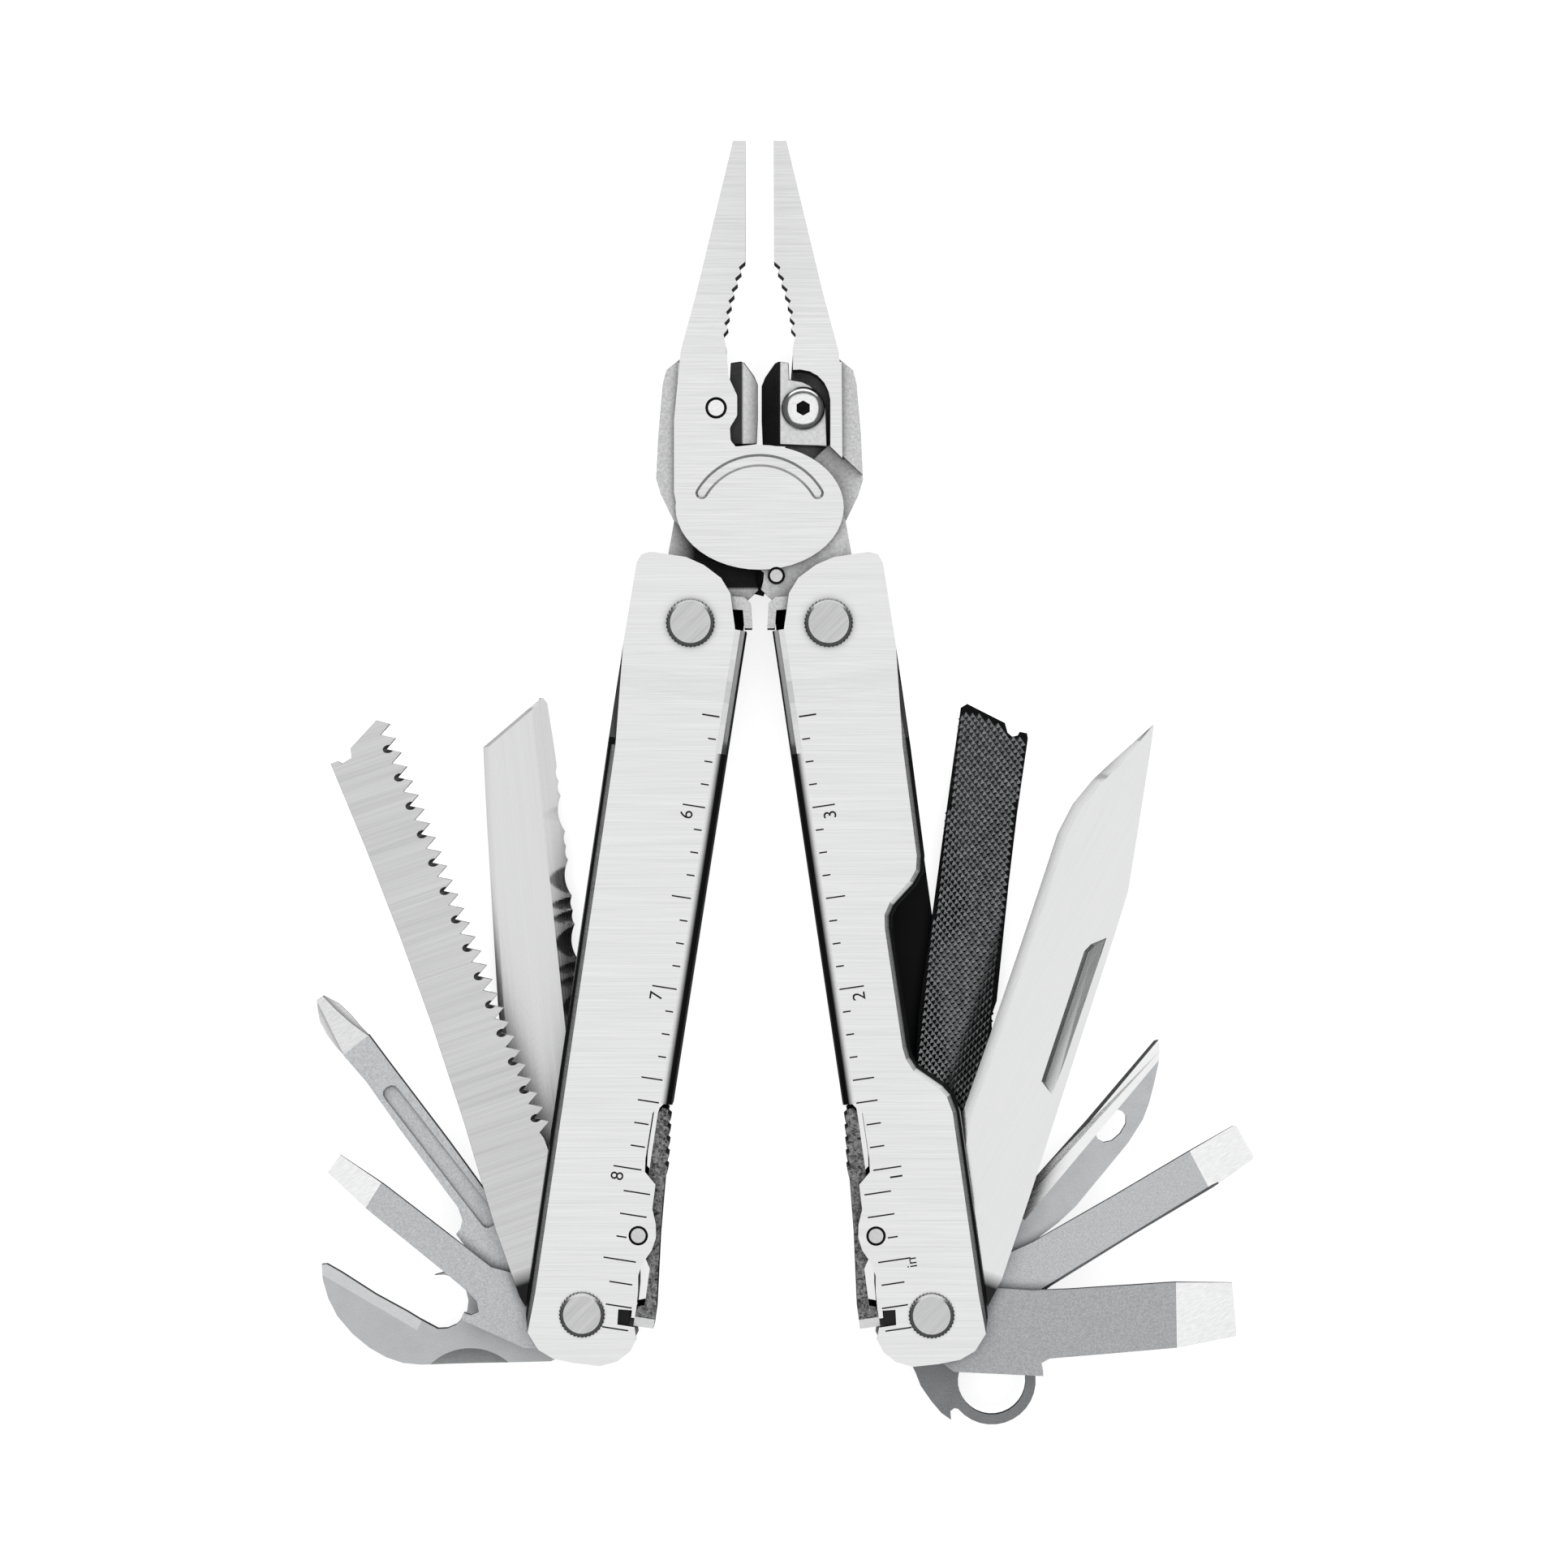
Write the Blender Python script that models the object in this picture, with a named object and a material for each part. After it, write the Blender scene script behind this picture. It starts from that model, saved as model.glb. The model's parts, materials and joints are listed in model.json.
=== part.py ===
"""Folding pliers multi tool: two crossing jaws, two channel handles and a fan of folding tools.

The tool lies flat, jaws towards +Y, with the pliers' pivot on the Z axis and the front disc's face
at z = 0. Outlines are written in millimetres and scaled by MM. The right-hand half is drawn in
handle coordinates: origin on the tool axle, +Y along the handle to its upper pivot, +X towards the
open side of the channel. The left-hand half is the same with X mirrored.
"""
import math

import bmesh
import bpy
from mathutils import Matrix

MM = 0.001

# Pliers head
FACE_Z = 4.8                     # half thickness of the head, from its middle plane
PLATE = 1.5                      # thickness of the bright front plate
LAYER_GAP = 0.3                  # running gap between neighbouring layers
SHOULDER_Z = 3.3                 # half thickness of the forged shoulders
TIP_Z = 2.6                      # half thickness at the jaw tips
DISC_A = 11.6                    # half width of the oval pivot disc
DISC_B = 8.6                     # half height of the oval pivot disc
HUB_R = 7.6                      # round pivot hub under the disc
PIVOT_PIN_R = 3.5
JAW_TIP_Y = 50.7
TOOTH_PITCH = 1.55
TOOTH_COUNT = 7
TOOTH_DEPTH = 0.6
GRIP_TOP = 34.0                  # the pipe grip starts here and runs down the jaw
NOSE_START = 24.0                # the nose gets thinner from here to the tip
CUTTER_SCREW = (-6.0, 13.7)      # on the left jaw; the right one is its half turn
SCREW_R = 1.4
SCREW_HEAD_R = 3.0
STOP_PIN = (2.3, -9.4)
STOP_PIN_R = 1.1
STOP_PIN_Z = 1.0                 # foot of its blind hole in the tang
TANG_HUB_R = 5.9                 # boss of a tang around the handle's bolt
TANG_HUB_Z = 6.35

# Handles
PIVOT_SPAN = 96.15               # tool axle to upper pivot
RIGHT_PIVOT = (9.5, -16.0)
LEFT_PIVOT = (-9.5, -16.0)
RIGHT_ANGLE = 98.45              # direction from tool axle to upper pivot, in degrees
LEFT_ANGLE = 81.10
OUTER_Z = 8.9                    # handle half thickness
WALL = 1.25                      # sheet thickness
NECK_DROP = 1.0                  # the neck is pinched by this on each side
NECK_START = 83.0
NECK_END = 92.0
SPINE_X = -7.8                   # outside of the channel's spine
SPINE_BOTTOM = 30.3
SPINE_TOP = 96.2
BEND_R = 1.9
EDGE_ROUND = 1.1
ROUNDED_SPAN = (-1.2, 79.0)      # heights between which the open side is rounded

# Fasteners
TOOL_AXLE_R = 2.4
HANDLE_BOLT_R = 2.6
RUNNING = 0.1                    # radial clearance of a shaft in its hole
HEAD_GAP = 0.1                   # under a bolt head
HEAD_Z = 9.6                     # top of every bolt head, so that the tool rests level
HANDLE_HEAD_R = 3.4
AXLE_HEAD_R = 3.2
HUB_RIM = 6.6                    # rim radius of every folding tool
ROUND_SEGMENTS = 32

# Folding tools: angle from folded to the fanned-out pose, and the layer's z range
SAW = (27.9, 5.25, 7.35)
SERRATED = (14.9, -7.35, -5.25)
SMALL_DRIVER = (66.9, 2.55, 4.95)
PHILLIPS = (46.9, -1.55, 2.25)
CAN_OPENER = (86.9, -4.95, -1.85)
KNIFE = (29.45, 5.25, 7.35)
FILE = (14.45, -7.35, -5.25)
LARGE_DRIVER = (97.45, 2.70, 4.95)
MEDIUM_DRIVER = (70.45, 0.15, 2.40)
AWL = (48.45, -2.40, -0.15)
LANYARD_RING = (158.45, -4.95, -2.70)

LEVER_PIN = (-5.95, 11.9)
LEVER_PIN_R = 1.25
LEVER_Z = 7.35


# ---------------------------------------------------------------- helpers

def clear_scene():
    for obj in list(bpy.data.objects):
        bpy.data.objects.remove(obj, do_unlink=True)


def collection(name):
    made = bpy.data.collections.new(name)
    bpy.context.scene.collection.children.link(made)
    return made


def material(name, colour, roughness, metallic=1.0):
    made = bpy.data.materials.new(name)
    made.use_nodes = True
    shader = made.node_tree.nodes["Principled BSDF"]
    shader.inputs["Base Color"].default_value = (*colour, 1.0)
    shader.inputs["Roughness"].default_value = roughness
    shader.inputs["Metallic"].default_value = metallic
    made.diffuse_color = (*colour, 1.0)
    return made


def arc(x, y, radius, start, end, steps):
    """Points on a circle from start to end degrees."""
    angles = [math.radians(start + (end - start) * i / steps) for i in range(steps + 1)]
    return [(x + radius * math.cos(a), y + radius * math.sin(a)) for a in angles]


def circle(x, y, radius, segments=ROUND_SEGMENTS):
    return arc(x, y, radius, 0, 360 * (segments - 1) / segments, segments - 1)


def ellipse(a, b, segments=48):
    angles = [2 * math.pi * i / segments for i in range(segments)]
    return [(a * math.cos(t), b * math.sin(t)) for t in angles]


def rounded(corners, steps=3):
    """Corner list to outline; a third value in a corner is its fillet radius."""
    points = []
    count = len(corners)
    for i, corner in enumerate(corners):
        if len(corner) == 2:
            points.append(corner)
            continue
        x, y, radius = corner
        before, after = corners[i - 1], corners[(i + 1) % count]
        a = math.atan2(before[1] - y, before[0] - x)
        b = math.atan2(after[1] - y, after[0] - x)
        half = abs((b - a + math.pi) % (2 * math.pi) - math.pi) / 2
        reach = radius / math.tan(half)
        start = (x + reach * math.cos(a), y + reach * math.sin(a))
        end = (x + reach * math.cos(b), y + reach * math.sin(b))
        for k in range(steps + 1):
            t = k / steps
            u, v, w = (1 - t) ** 2, 2 * t * (1 - t), t ** 2
            points.append((u * start[0] + v * x + w * end[0], u * start[1] + v * y + w * end[1]))
    return points


def to_mesh(obj, name):
    """The evaluated object as a clean mesh object under the same name."""
    bpy.context.view_layer.update()
    evaluated = obj.evaluated_get(bpy.context.evaluated_depsgraph_get())
    mesh = bpy.data.meshes.new_from_object(evaluated)
    mesh.transform(obj.matrix_world)
    cage = bmesh.new()
    cage.from_mesh(mesh)
    bmesh.ops.remove_doubles(cage, verts=cage.verts, dist=1e-7)
    bmesh.ops.recalc_face_normals(cage, faces=cage.faces)
    cage.to_mesh(mesh)
    cage.free()
    bpy.data.objects.remove(obj, do_unlink=True)
    made = bpy.data.objects.new(name, mesh)
    bpy.context.scene.collection.objects.link(made)
    return made


def plate(name, loops, z_low, z_high):
    """A flat piece between two heights; loops after the first are holes."""
    curve = bpy.data.curves.new(name, "CURVE")
    curve.dimensions = "2D"
    curve.fill_mode = "BOTH"
    curve.extrude = (z_high - z_low) / 2 * MM
    for loop in loops:
        spline = curve.splines.new("POLY")
        spline.points.add(len(loop) - 1)
        for point, (x, y) in zip(spline.points, loop):
            point.co = (x * MM, y * MM, 0, 1)
        spline.use_cyclic_u = True
    holder = bpy.data.objects.new(name, curve)
    bpy.context.scene.collection.objects.link(holder)
    holder.location.z = (z_high + z_low) / 2 * MM
    return to_mesh(holder, name)


def drum(name, x, y, radius, z_low, z_high, segments=ROUND_SEGMENTS):
    """A round bar along Z."""
    mesh = bpy.data.meshes.new(name)
    cage = bmesh.new()
    bmesh.ops.create_cone(cage, cap_ends=True, segments=segments, radius1=radius * MM,
                          radius2=radius * MM, depth=(z_high - z_low) * MM)
    middle = (x * MM, y * MM, (z_high + z_low) / 2 * MM)
    bmesh.ops.translate(cage, verts=cage.verts, vec=middle)
    cage.to_mesh(mesh)
    cage.free()
    made = bpy.data.objects.new(name, mesh)
    bpy.context.scene.collection.objects.link(made)
    return made


def combine(target, other, operation):
    """Boolean of two objects that share one frame; the second one is used up."""
    modifier = target.modifiers.new("boolean", "BOOLEAN")
    modifier.operation = operation
    modifier.object = other
    modifier.solver = "EXACT"
    name = target.name
    target.name = name + "_blank"
    made = to_mesh(target, name)
    bpy.data.objects.remove(other, do_unlink=True)
    return made


def join(first, *others):
    for other in others:
        first = combine(first, other, "UNION")
    return first


def cut(first, *others):
    for other in others:
        first = combine(first, other, "DIFFERENCE")
    return first


def edit(obj, change):
    """Apply a bmesh function to an object's mesh."""
    cage = bmesh.new()
    cage.from_mesh(obj.data)
    change(cage)
    bmesh.ops.recalc_face_normals(cage, faces=cage.faces)
    cage.to_mesh(obj.data)
    cage.free()


def flip_about_y(obj):
    """Turn a piece half a turn about the Y axis."""
    obj.data.transform(Matrix.Rotation(math.pi, 4, "Y"))


def mirror_piece(obj):
    """Mirror a piece's mesh in X."""
    obj.data.transform(Matrix.Scale(-1, 4, (1, 0, 0)))
    obj.data.flip_normals()


def pivot(name, parent, x, y, angle=0.0, z=0.0):
    """An empty on a joint's axis."""
    made = bpy.data.objects.new(name, None)
    bpy.context.scene.collection.objects.link(made)
    made.parent = parent
    made.location = (x * MM, y * MM, z * MM)
    made.rotation_euler.z = math.radians(angle)
    return made


def fit(obj, group, parent, surface, offset=(0.0, 0.0)):
    """Give a finished piece its collection, parent, place and material."""
    bpy.context.scene.collection.objects.unlink(obj)
    group.objects.link(obj)
    obj.parent = parent
    obj.location = (offset[0] * MM, offset[1] * MM, 0)
    obj.data.materials.clear()
    obj.data.materials.append(surface)
    obj.data.shade_smooth()
    obj.data.set_sharp_from_angle(angle=math.radians(32))
    return obj


# ---------------------------------------------------------------- pliers head

def grip_line(y):
    """Inner edge of the left jaw beside the pipe-grip teeth."""
    return -1.95 - 2.45 * math.sin(math.pi / 2 * (GRIP_TOP - y) / 11.0)


def jaw_teeth():
    points = []
    for k in range(TOOTH_COUNT):
        y = GRIP_TOP - 0.1 - TOOTH_PITCH * k
        points.append((grip_line(y), y))
        valley = y - TOOTH_PITCH / 2
        points.append((grip_line(valley) - TOOTH_DEPTH, valley))
    return points


def slice_at(cage, levels):
    """Add straight edge lines across a piece at the given heights."""
    for level in levels:
        geometry = cage.verts[:] + cage.edges[:] + cage.faces[:]
        bmesh.ops.bisect_plane(cage, geom=geometry, plane_co=(0, level * MM, 0),
                               plane_no=(0, 1, 0), dist=1e-7)


def taper_nose(cage):
    """Thin the nose from above the shoulders to the tip, starting gently."""
    length = JAW_TIP_Y - NOSE_START
    slice_at(cage, [NOSE_START + length * step / 8 for step in range(4)])
    for vert in cage.verts:
        t = (vert.co.y / MM - NOSE_START) / length
        if t > 0:
            eased = t * t * 16 / 7 if t < 0.25 else (8 * t - 1) / 7
            vert.co.z *= 1 - (1 - TIP_Z / FACE_Z) * eased


def left_jaw(name):
    """Jaw with its front disc, shoulder and the tang that carries the right handle."""
    plate_low = FACE_Z - PLATE
    nose_outline = [(-4.6, 18.95), (-5.6, 19.0), (-6.9, 18.75), (-8.0, 18.15), (-8.9, 17.2),
                    (-9.5, 16.0), (-9.75, 14.8), (-11.35, 14.8), (-11.2, 18.0),
                    (-10.9, 21.5), (-8.7, 29.7), (-6.8, 37.8), (-4.6, 47.0),
                    (-3.7, JAW_TIP_Y), (-1.9, JAW_TIP_Y)]
    nose = plate(name, [nose_outline + jaw_teeth() + [(-4.6, 22.0)]], -FACE_Z, FACE_Z)
    edit(nose, taper_nose)
    cheek_outline = rounded([(-4.6, 21.6), (-4.3, 18.0), (-3.1, 15.4, 1.0), (-3.1, 12.6, 1.0),
                             (-4.1, 11.0, 1.0), (-4.0, 9.2, 0.6), (-3.0, 8.0), (0, 0), (-11.4, 0),
                             (-11.8, 2.0), (-11.8, 12.0), (-10.9, 21.5)])
    cheek = plate("cheek", [cheek_outline], plate_low, FACE_Z)
    disc = plate("disc", [ellipse(DISC_A, DISC_B)], plate_low, FACE_Z)
    rib = plate("rib", [[(-9.75, 20.0), (-11.3, 20.0), (-11.4, 6.8), (-9.75, 8.4)]],
                -FACE_Z, plate_low + 0.4)
    shoulder = plate("shoulder", [[(-10.5, 20.9), (-12.9, 19.0), (-13.4, 17.0), (-14.0, 10.0),
                                   (-14.2, 4.6), (-9.8, 8.7)]], -SHOULDER_Z, SHOULDER_Z + 0.01)
    hub_side = plate("hub_side", [[(-9.8, 9.0), (-14.0, 10.0), (-14.3, 4.0), (-13.7, 2.0),
                                   (-12.0, -1.5), (-9.0, -4.8), (0, -6.0), (0, 6.0), (-6.0, 5.4)]],
                     LAYER_GAP / 2, SHOULDER_Z + 0.02)
    hub = drum("hub", 0, 0, HUB_R, LAYER_GAP / 2, plate_low + 0.2, 48)
    tang_outline = rounded([(9.0, 5.0), (11.3, 1.0), (11.8, -1.5), (12.7, -6.5), (15.2, -12.0),
                            (15.2, -16.0), (9.4, -18.0), (4.4, -16.5), (3.9, -14.2),
                            (1.6, -12.6), (0.2, -11.3), (0.5, -10.2), (0.6, -9.0), (-4.0, -5.0)])
    tang = plate("tang", [tang_outline], LAYER_GAP / 2, SHOULDER_Z - 0.2)
    hx, hy = RIGHT_PIVOT
    tang_hub = drum("tang_hub", hx, hy, TANG_HUB_R, -TANG_HUB_Z, TANG_HUB_Z)
    finger = plate("finger", [[(1.05, -16.7), (1.25, -13.2), (2.2, -12.4), (6.0, -12.2),
                               (5.2, -14.0), (2.3, -14.2), (2.1, -16.7)]], -TANG_HUB_Z, TANG_HUB_Z)
    body = join(nose, cheek, disc, rib, shoulder, hub_side, hub, tang, tang_hub, finger)
    return cut(body,
               drum("pin_hole", 0, 0, PIVOT_PIN_R + RUNNING, -1, plate_low - 0.1),
               drum("bolt_hole", hx, hy, HANDLE_BOLT_R + RUNNING, -8, 8),
               drum("screw_hole", *CUTTER_SCREW, SCREW_R + RUNNING, 0, 6, 20),
               drum("stop_hole", *STOP_PIN, STOP_PIN_R + RUNNING, STOP_PIN_Z - RUNNING, 6, 20))


def cutter(name):
    """Replaceable wire cutter of the left jaw, a block with a bevelled cutting edge."""
    outline = rounded([(-0.45, 8.8), (-0.9, 19.2), (-1.8, 20.4, 0.4), (-3.9, 20.4), (-4.1, 17.7),
                       (-5.9, 17.4), (-6.9, 16.9), (-7.9, 16.0), (-8.65, 15.0),
                       (-9.15, 13.7), (-9.3, 8.5)])
    half = FACE_Z - PLATE - LAYER_GAP
    body = plate(name, [outline], -half, half)

    def bevel_edge(cage):
        for vert in cage.verts:
            if vert.co.x > -1.5 * MM:
                vert.co.z *= 0.25

    edit(body, bevel_edge)
    return cut(body, drum("screw_hole", *CUTTER_SCREW, SCREW_R + RUNNING, -8, 8, 20))


def cutter_screw(name):
    """Domed socket screw that holds the left cutter from behind."""
    x, y = CUTTER_SCREW
    crown = 0.72
    shank = drum(name, x, y, SCREW_R, -3.9, 4.6, 20)
    head = drum("head", x, y, SCREW_HEAD_R, -4.6, -3.12)
    for vert in head.data.vertices:
        if vert.co.z < -4 * MM:
            vert.co.x = x * MM + (vert.co.x - x * MM) * crown
            vert.co.y = y * MM + (vert.co.y - y * MM) * crown
    socket = drum("socket", x, y, 1.1, -6, -3.9, 6)
    return cut(join(shank, head), socket)


# ---------------------------------------------------------------- handles

def wall_outline():
    """One side wall of the channel in handle coordinates, without the access cut-out."""
    bottom = [(7.9, 2.0), (7.7, -1.0), (7.0, -3.6), (5.2, -5.7), (3.0, -6.6), (0, -6.75),
              (-3.6, -6.6), (-5.8, -5.6), (-7.3, -4.0), (-7.9, -2.2), (-7.4, -0.6)]
    tooth_slot = [(-5.0, -0.6), (-4.8, 1.5), (-7.25, 1.7)]
    lever_side = [(-7.1, 4.5), (-6.8, 6.5), (-7.1, 8.2), (-8.1, 10.2), (-8.4, 12.0), (-8.1, 13.8),
                  (-7.3, 15.8), (-7.2, 19.2), (-5.5, 20.7), (-5.3, 22.5), (-5.3, 28.8),
                  (-5.9, 30.1)]
    spine_side = [(-6.2, 30.4), (-6.2, 83.0), (-6.2, SPINE_TOP), (-6.1, 96.6)]
    top = [(-5.5, 98.6), (-4.8, 101.0), (-3.2, 102.9), (-0.6, 104.3), (2.0, 105.0), (6.9, 105.0),
           (8.1, 104.5), (8.6, 103.3)]
    open_side = [(8.7, 92.0), (8.65, 78.0)]
    return bottom + tooth_slot + lever_side + spine_side + top + open_side


def access_cutout():
    """Scoop in the wall that lets a finger reach the folded knife."""
    return [(9.5, 63.5), (8.35, 62.6), (7.9, 60.4), (6.6, 58.7), (3.5, 56.2), (2.75, 55.0),
            (2.55, 53.4), (2.55, 37.0), (2.75, 35.6), (3.4, 34.2), (6.5, 31.3), (7.5, 29.8),
            (8.05, 27.2), (9.5, 26.5)]


def cut_wall_outline():
    """Wall outline with the access scoop taken out of its open side."""
    scoop = [point for point in access_cutout() if point[0] < 9.0]
    return wall_outline() + scoop


def round_open_edge(cage):
    """Round the outer edge of a wall along its open side, between foot and neck."""
    bmesh.ops.dissolve_limit(cage, angle_limit=math.radians(0.1), verts=cage.verts,
                             edges=cage.edges)
    low_y, high_y = (level * MM for level in ROUNDED_SPAN)
    outside = max(vert.co.z for vert in cage.verts)
    edges = [edge for edge in cage.edges
             if all(abs(v.co.z - outside) < 1e-6 and v.co.x > 2.4 * MM
                    and low_y < v.co.y < high_y for v in edge.verts)]
    bmesh.ops.bevel(cage, geom=edges, offset=EDGE_ROUND * MM, offset_type="OFFSET", segments=3,
                    profile=0.5, affect="EDGES", clamp_overlap=False)


def pinch_neck(cage):
    """Draw both walls in towards the middle plane above the ruler end."""
    slice_at(cage, [NECK_START + (NECK_END - NECK_START) * step / 3 for step in range(4)])
    for vert in cage.verts:
        t = min(1.0, max(0.0, (vert.co.y / MM - NECK_START) / (NECK_END - NECK_START)))
        smooth = t * t * (3 - 2 * t)
        drop = NECK_DROP * smooth * MM
        vert.co.z -= math.copysign(min(drop, abs(vert.co.z) * drop / (6 * MM)), vert.co.z)


def spine(name):
    """Back of the channel with its two bends, as a U section run along the handle."""
    inner_x = SPINE_X + WALL
    inner_z = OUTER_Z - WALL
    section = rounded([(-5.9, OUTER_Z), (SPINE_X, OUTER_Z, BEND_R), (SPINE_X, -OUTER_Z, BEND_R),
                       (-5.9, -OUTER_Z), (-5.9, -inner_z), (inner_x, -inner_z, BEND_R - WALL),
                       (inner_x, inner_z, BEND_R - WALL), (-5.9, inner_z)])
    made = plate(name, [section], SPINE_BOTTOM, SPINE_TOP)
    made.data.transform(Matrix.Rotation(-math.pi / 2, 4, "X"))
    return made


def handle(name):
    """Right handle: a pressed channel with the knife's access scoop in its front wall."""
    inner_z = OUTER_Z - WALL
    front = plate(name, [cut_wall_outline()], inner_z, OUTER_Z)
    edit(front, round_open_edge)
    back = plate("back_wall", [wall_outline()], inner_z, OUTER_Z)
    edit(back, round_open_edge)
    back.data.transform(Matrix.Scale(-1, 4, (0, 0, 1)))
    back.data.flip_normals()
    shell = join(front, spine("spine"), back)
    shell = cut(shell,
                drum("axle_hole", 0, 0, TOOL_AXLE_R + RUNNING, -12, 12),
                drum("upper_hole", 0, PIVOT_SPAN, HANDLE_BOLT_R + RUNNING, -12, 12),
                drum("lever_hole", *LEVER_PIN, LEVER_PIN_R + RUNNING, -12, 12, 20))
    edit(shell, pinch_neck)
    return shell


def bolt(name, y, shaft_r, head_r, wall_z):
    """Headed axle that runs through both walls into the cap behind."""
    low = wall_z + HEAD_GAP
    shaft = drum(name, 0, y, shaft_r, -(wall_z + 0.35), low + 0.3)
    head = drum("head", 0, y, head_r, low, HEAD_Z, 40)
    return join(shaft, head)


def bolt_cap(name, y, shaft_r, head_r, wall_z):
    """Rear nut with a blind hole for the axle's end."""
    high = -(wall_z + HEAD_GAP)
    cap = drum(name, 0, y, head_r, -HEAD_Z, high, 40)
    return cut(cap, drum("blind", 0, y, shaft_r + RUNNING, high - 0.4, high + 1))


def lever_outline():
    """Lock lever: tooth at the axle, boss on its pin and a ribbed thumb pad."""
    px, py = LEVER_PIN
    ribs = []
    for k in range(5):
        y = 20.9 + 1.75 * k
        x = -8.5 + 0.1 * (y - 20.9)
        ribs += [(x, y), (x, y + 0.8), (x + 0.45, y + 1.1), (x + 0.45, y + 1.6)]
    boss = arc(px, py, 1.95, 60, -90, 6)
    return ([(-10.0, -0.5), (-9.95, 2.0), (-8.9, 12.0), (-8.35, 19.8)] + ribs
            + [(-7.3, 29.6), (-6.5, 29.7), (-6.0, 29.0), (-6.05, 20.5), (-6.3, 15.0)] + boss
            + [(-7.2, 9.2), (-8.2, 7.6), (-8.3, 2.5), (-7.2, 2.1), (-7.2, -0.5)])


def lever(name):
    hole = circle(*LEVER_PIN, LEVER_PIN_R + RUNNING, 20)
    return plate(name, [lever_outline(), hole], -LEVER_Z, LEVER_Z)


def lever_spring(name):
    """Leaf spring that rests on the spine and presses the thumb pad outwards."""
    outline = [(-6.2, 44.0), (-6.2, 35.0), (-4.25, 30.4), (-4.25, 22.5), (-3.95, 22.5),
               (-3.95, 30.5), (-5.9, 35.1), (-5.9, 44.0)]
    return plate(name, [outline], -1.5, 1.5)


# ---------------------------------------------------------------- folding tools

def tool_hub(right_start):
    """Rim of a tool round the axle, from its open side round the bottom to the spine side.

    The notch beside the blade is where the lock lever's tooth drops in when the tool is open.
    """
    notch = [right_start, (6.5, 1.0), (4.9, 1.0), (4.9, -2.4)]
    return notch + arc(0, 0, HUB_RIM, -21.5, -186.0, 14)


def folding_tool(name, blade, right_start, layer, windows=()):
    """A flat tool; blade runs from the hub's spine side round the tip to its open side."""
    axle_hole = circle(0, 0, TOOL_AXLE_R + RUNNING)
    return plate(name, [tool_hub(right_start) + blade, axle_hole, *windows], layer[1], layer[2])


def saw(name):
    teeth = []
    pitch = 2.1
    for k in range(29):
        y = 26.5 + pitch * k
        tip = -4.3 + (y - 26.5) * 0.0495
        teeth += [(tip + 1.7, y - 1.0), (tip, y)]
    tip_end = [(0.2, 86.4), (3.5, 84.6), (4.8, 83.9), (5.1, 82.6), (6.6, 82.3), (7.1, 82.8),
               (8.1, 82.8)]
    blade = [(-3.6, 7.5), (-3.0, 16.0), (-2.9, 24.5)] + teeth + tip_end + [
        (7.3, 70.0), (6.8, 57.0), (6.6, 44.0), (6.8, 30.0), (7.5, 15.0)]
    return folding_tool(name, blade, (7.4, 5.0), SAW)


def serrated_knife(name):
    """Sheepsfoot blade with alternating large and small scallops towards the handle."""
    blade = [(-3.6, 7.5), (-3.4, 17.0), (-4.0, 22.0)]
    y = 26.0
    for width, count in ((4.6, 1), (1.9, 2), (4.6, 1), (1.9, 2), (4.6, 1), (1.9, 2), (4.6, 1),
                         (1.9, 2), (4.6, 1), (1.9, 2)):
        for _ in range(count):
            depth = width * 0.2
            blade += [(-4.2, y), (-4.2 + depth, y + width * 0.3), (-4.2 + depth, y + width * 0.7)]
            y += width
    blade += [(-4.1, y), (-3.9, 78.0), (-3.6, 84.2), (-3.0, 85.1), (5.9, 79.0), (6.5, 68.0),
              (7.2, 52.0), (7.6, 43.0), (7.6, 20.0)]
    return folding_tool(name, blade, (7.3, 5.0), SERRATED)


def phillips_driver(name):
    """Flat shank milled with a long groove, ending in a cross point."""
    _, low, high = PHILLIPS
    blade = [(-2.6, 7.4), (0.0, 14.0), (0.7, 18.5), (0.5, 21.0), (0.2, 30.0), (0.0, 43.5),
             (-0.1, 48.3), (0.1, 50.0), (0.15, 52.0), (0.5, 54.3), (1.5, 56.5), (2.6, 56.6),
             (3.5, 55.2), (4.15, 53.9), (4.5, 51.7), (4.5, 49.4), (4.35, 48.3), (4.1, 43.5),
             (4.5, 35.0), (4.8, 22.0), (5.4, 20.2), (6.4, 19.4), (7.3, 19.2)]
    body = folding_tool(name, blade, (7.4, 5.0), PHILLIPS)
    groove = rounded([(1.2, 17.0, 1.1), (3.7, 17.0, 1.1), (3.5, 41.1, 1.1), (1.2, 41.1, 1.1)])
    middle = (low + high) / 2
    near = [(-3.0, 48.4), (0.0, 48.4), (0.75, 51.0), (1.3, 54.0), (1.7, 58.0), (-3.0, 58.0)]
    far = [(7.0, 48.4), (4.2, 48.4), (3.8, 50.6), (3.2, 53.4), (2.3, 58.0), (7.0, 58.0)]
    return cut(body,
               plate("groove", [groove], high - 0.7, high + 1),
               plate("near_front", [near], middle + 0.45, high + 1),
               plate("far_front", [far], middle + 0.45, high + 1),
               plate("near_back", [near], low - 1, middle - 0.45),
               plate("far_back", [far], low - 1, middle - 0.45))


def thin_tip(start, end, keep):
    """Edit that grinds a driver's tip: thickness falls to keep between two heights."""
    def change(cage):
        z_values = [vert.co.z for vert in cage.verts]
        middle = (max(z_values) + min(z_values)) / 2
        for vert in cage.verts:
            t = min(1.0, max(0.0, (vert.co.y / MM - start) / (end - start)))
            vert.co.z = middle + (vert.co.z - middle) * (1 - (1 - keep) * t)
    return change


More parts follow.
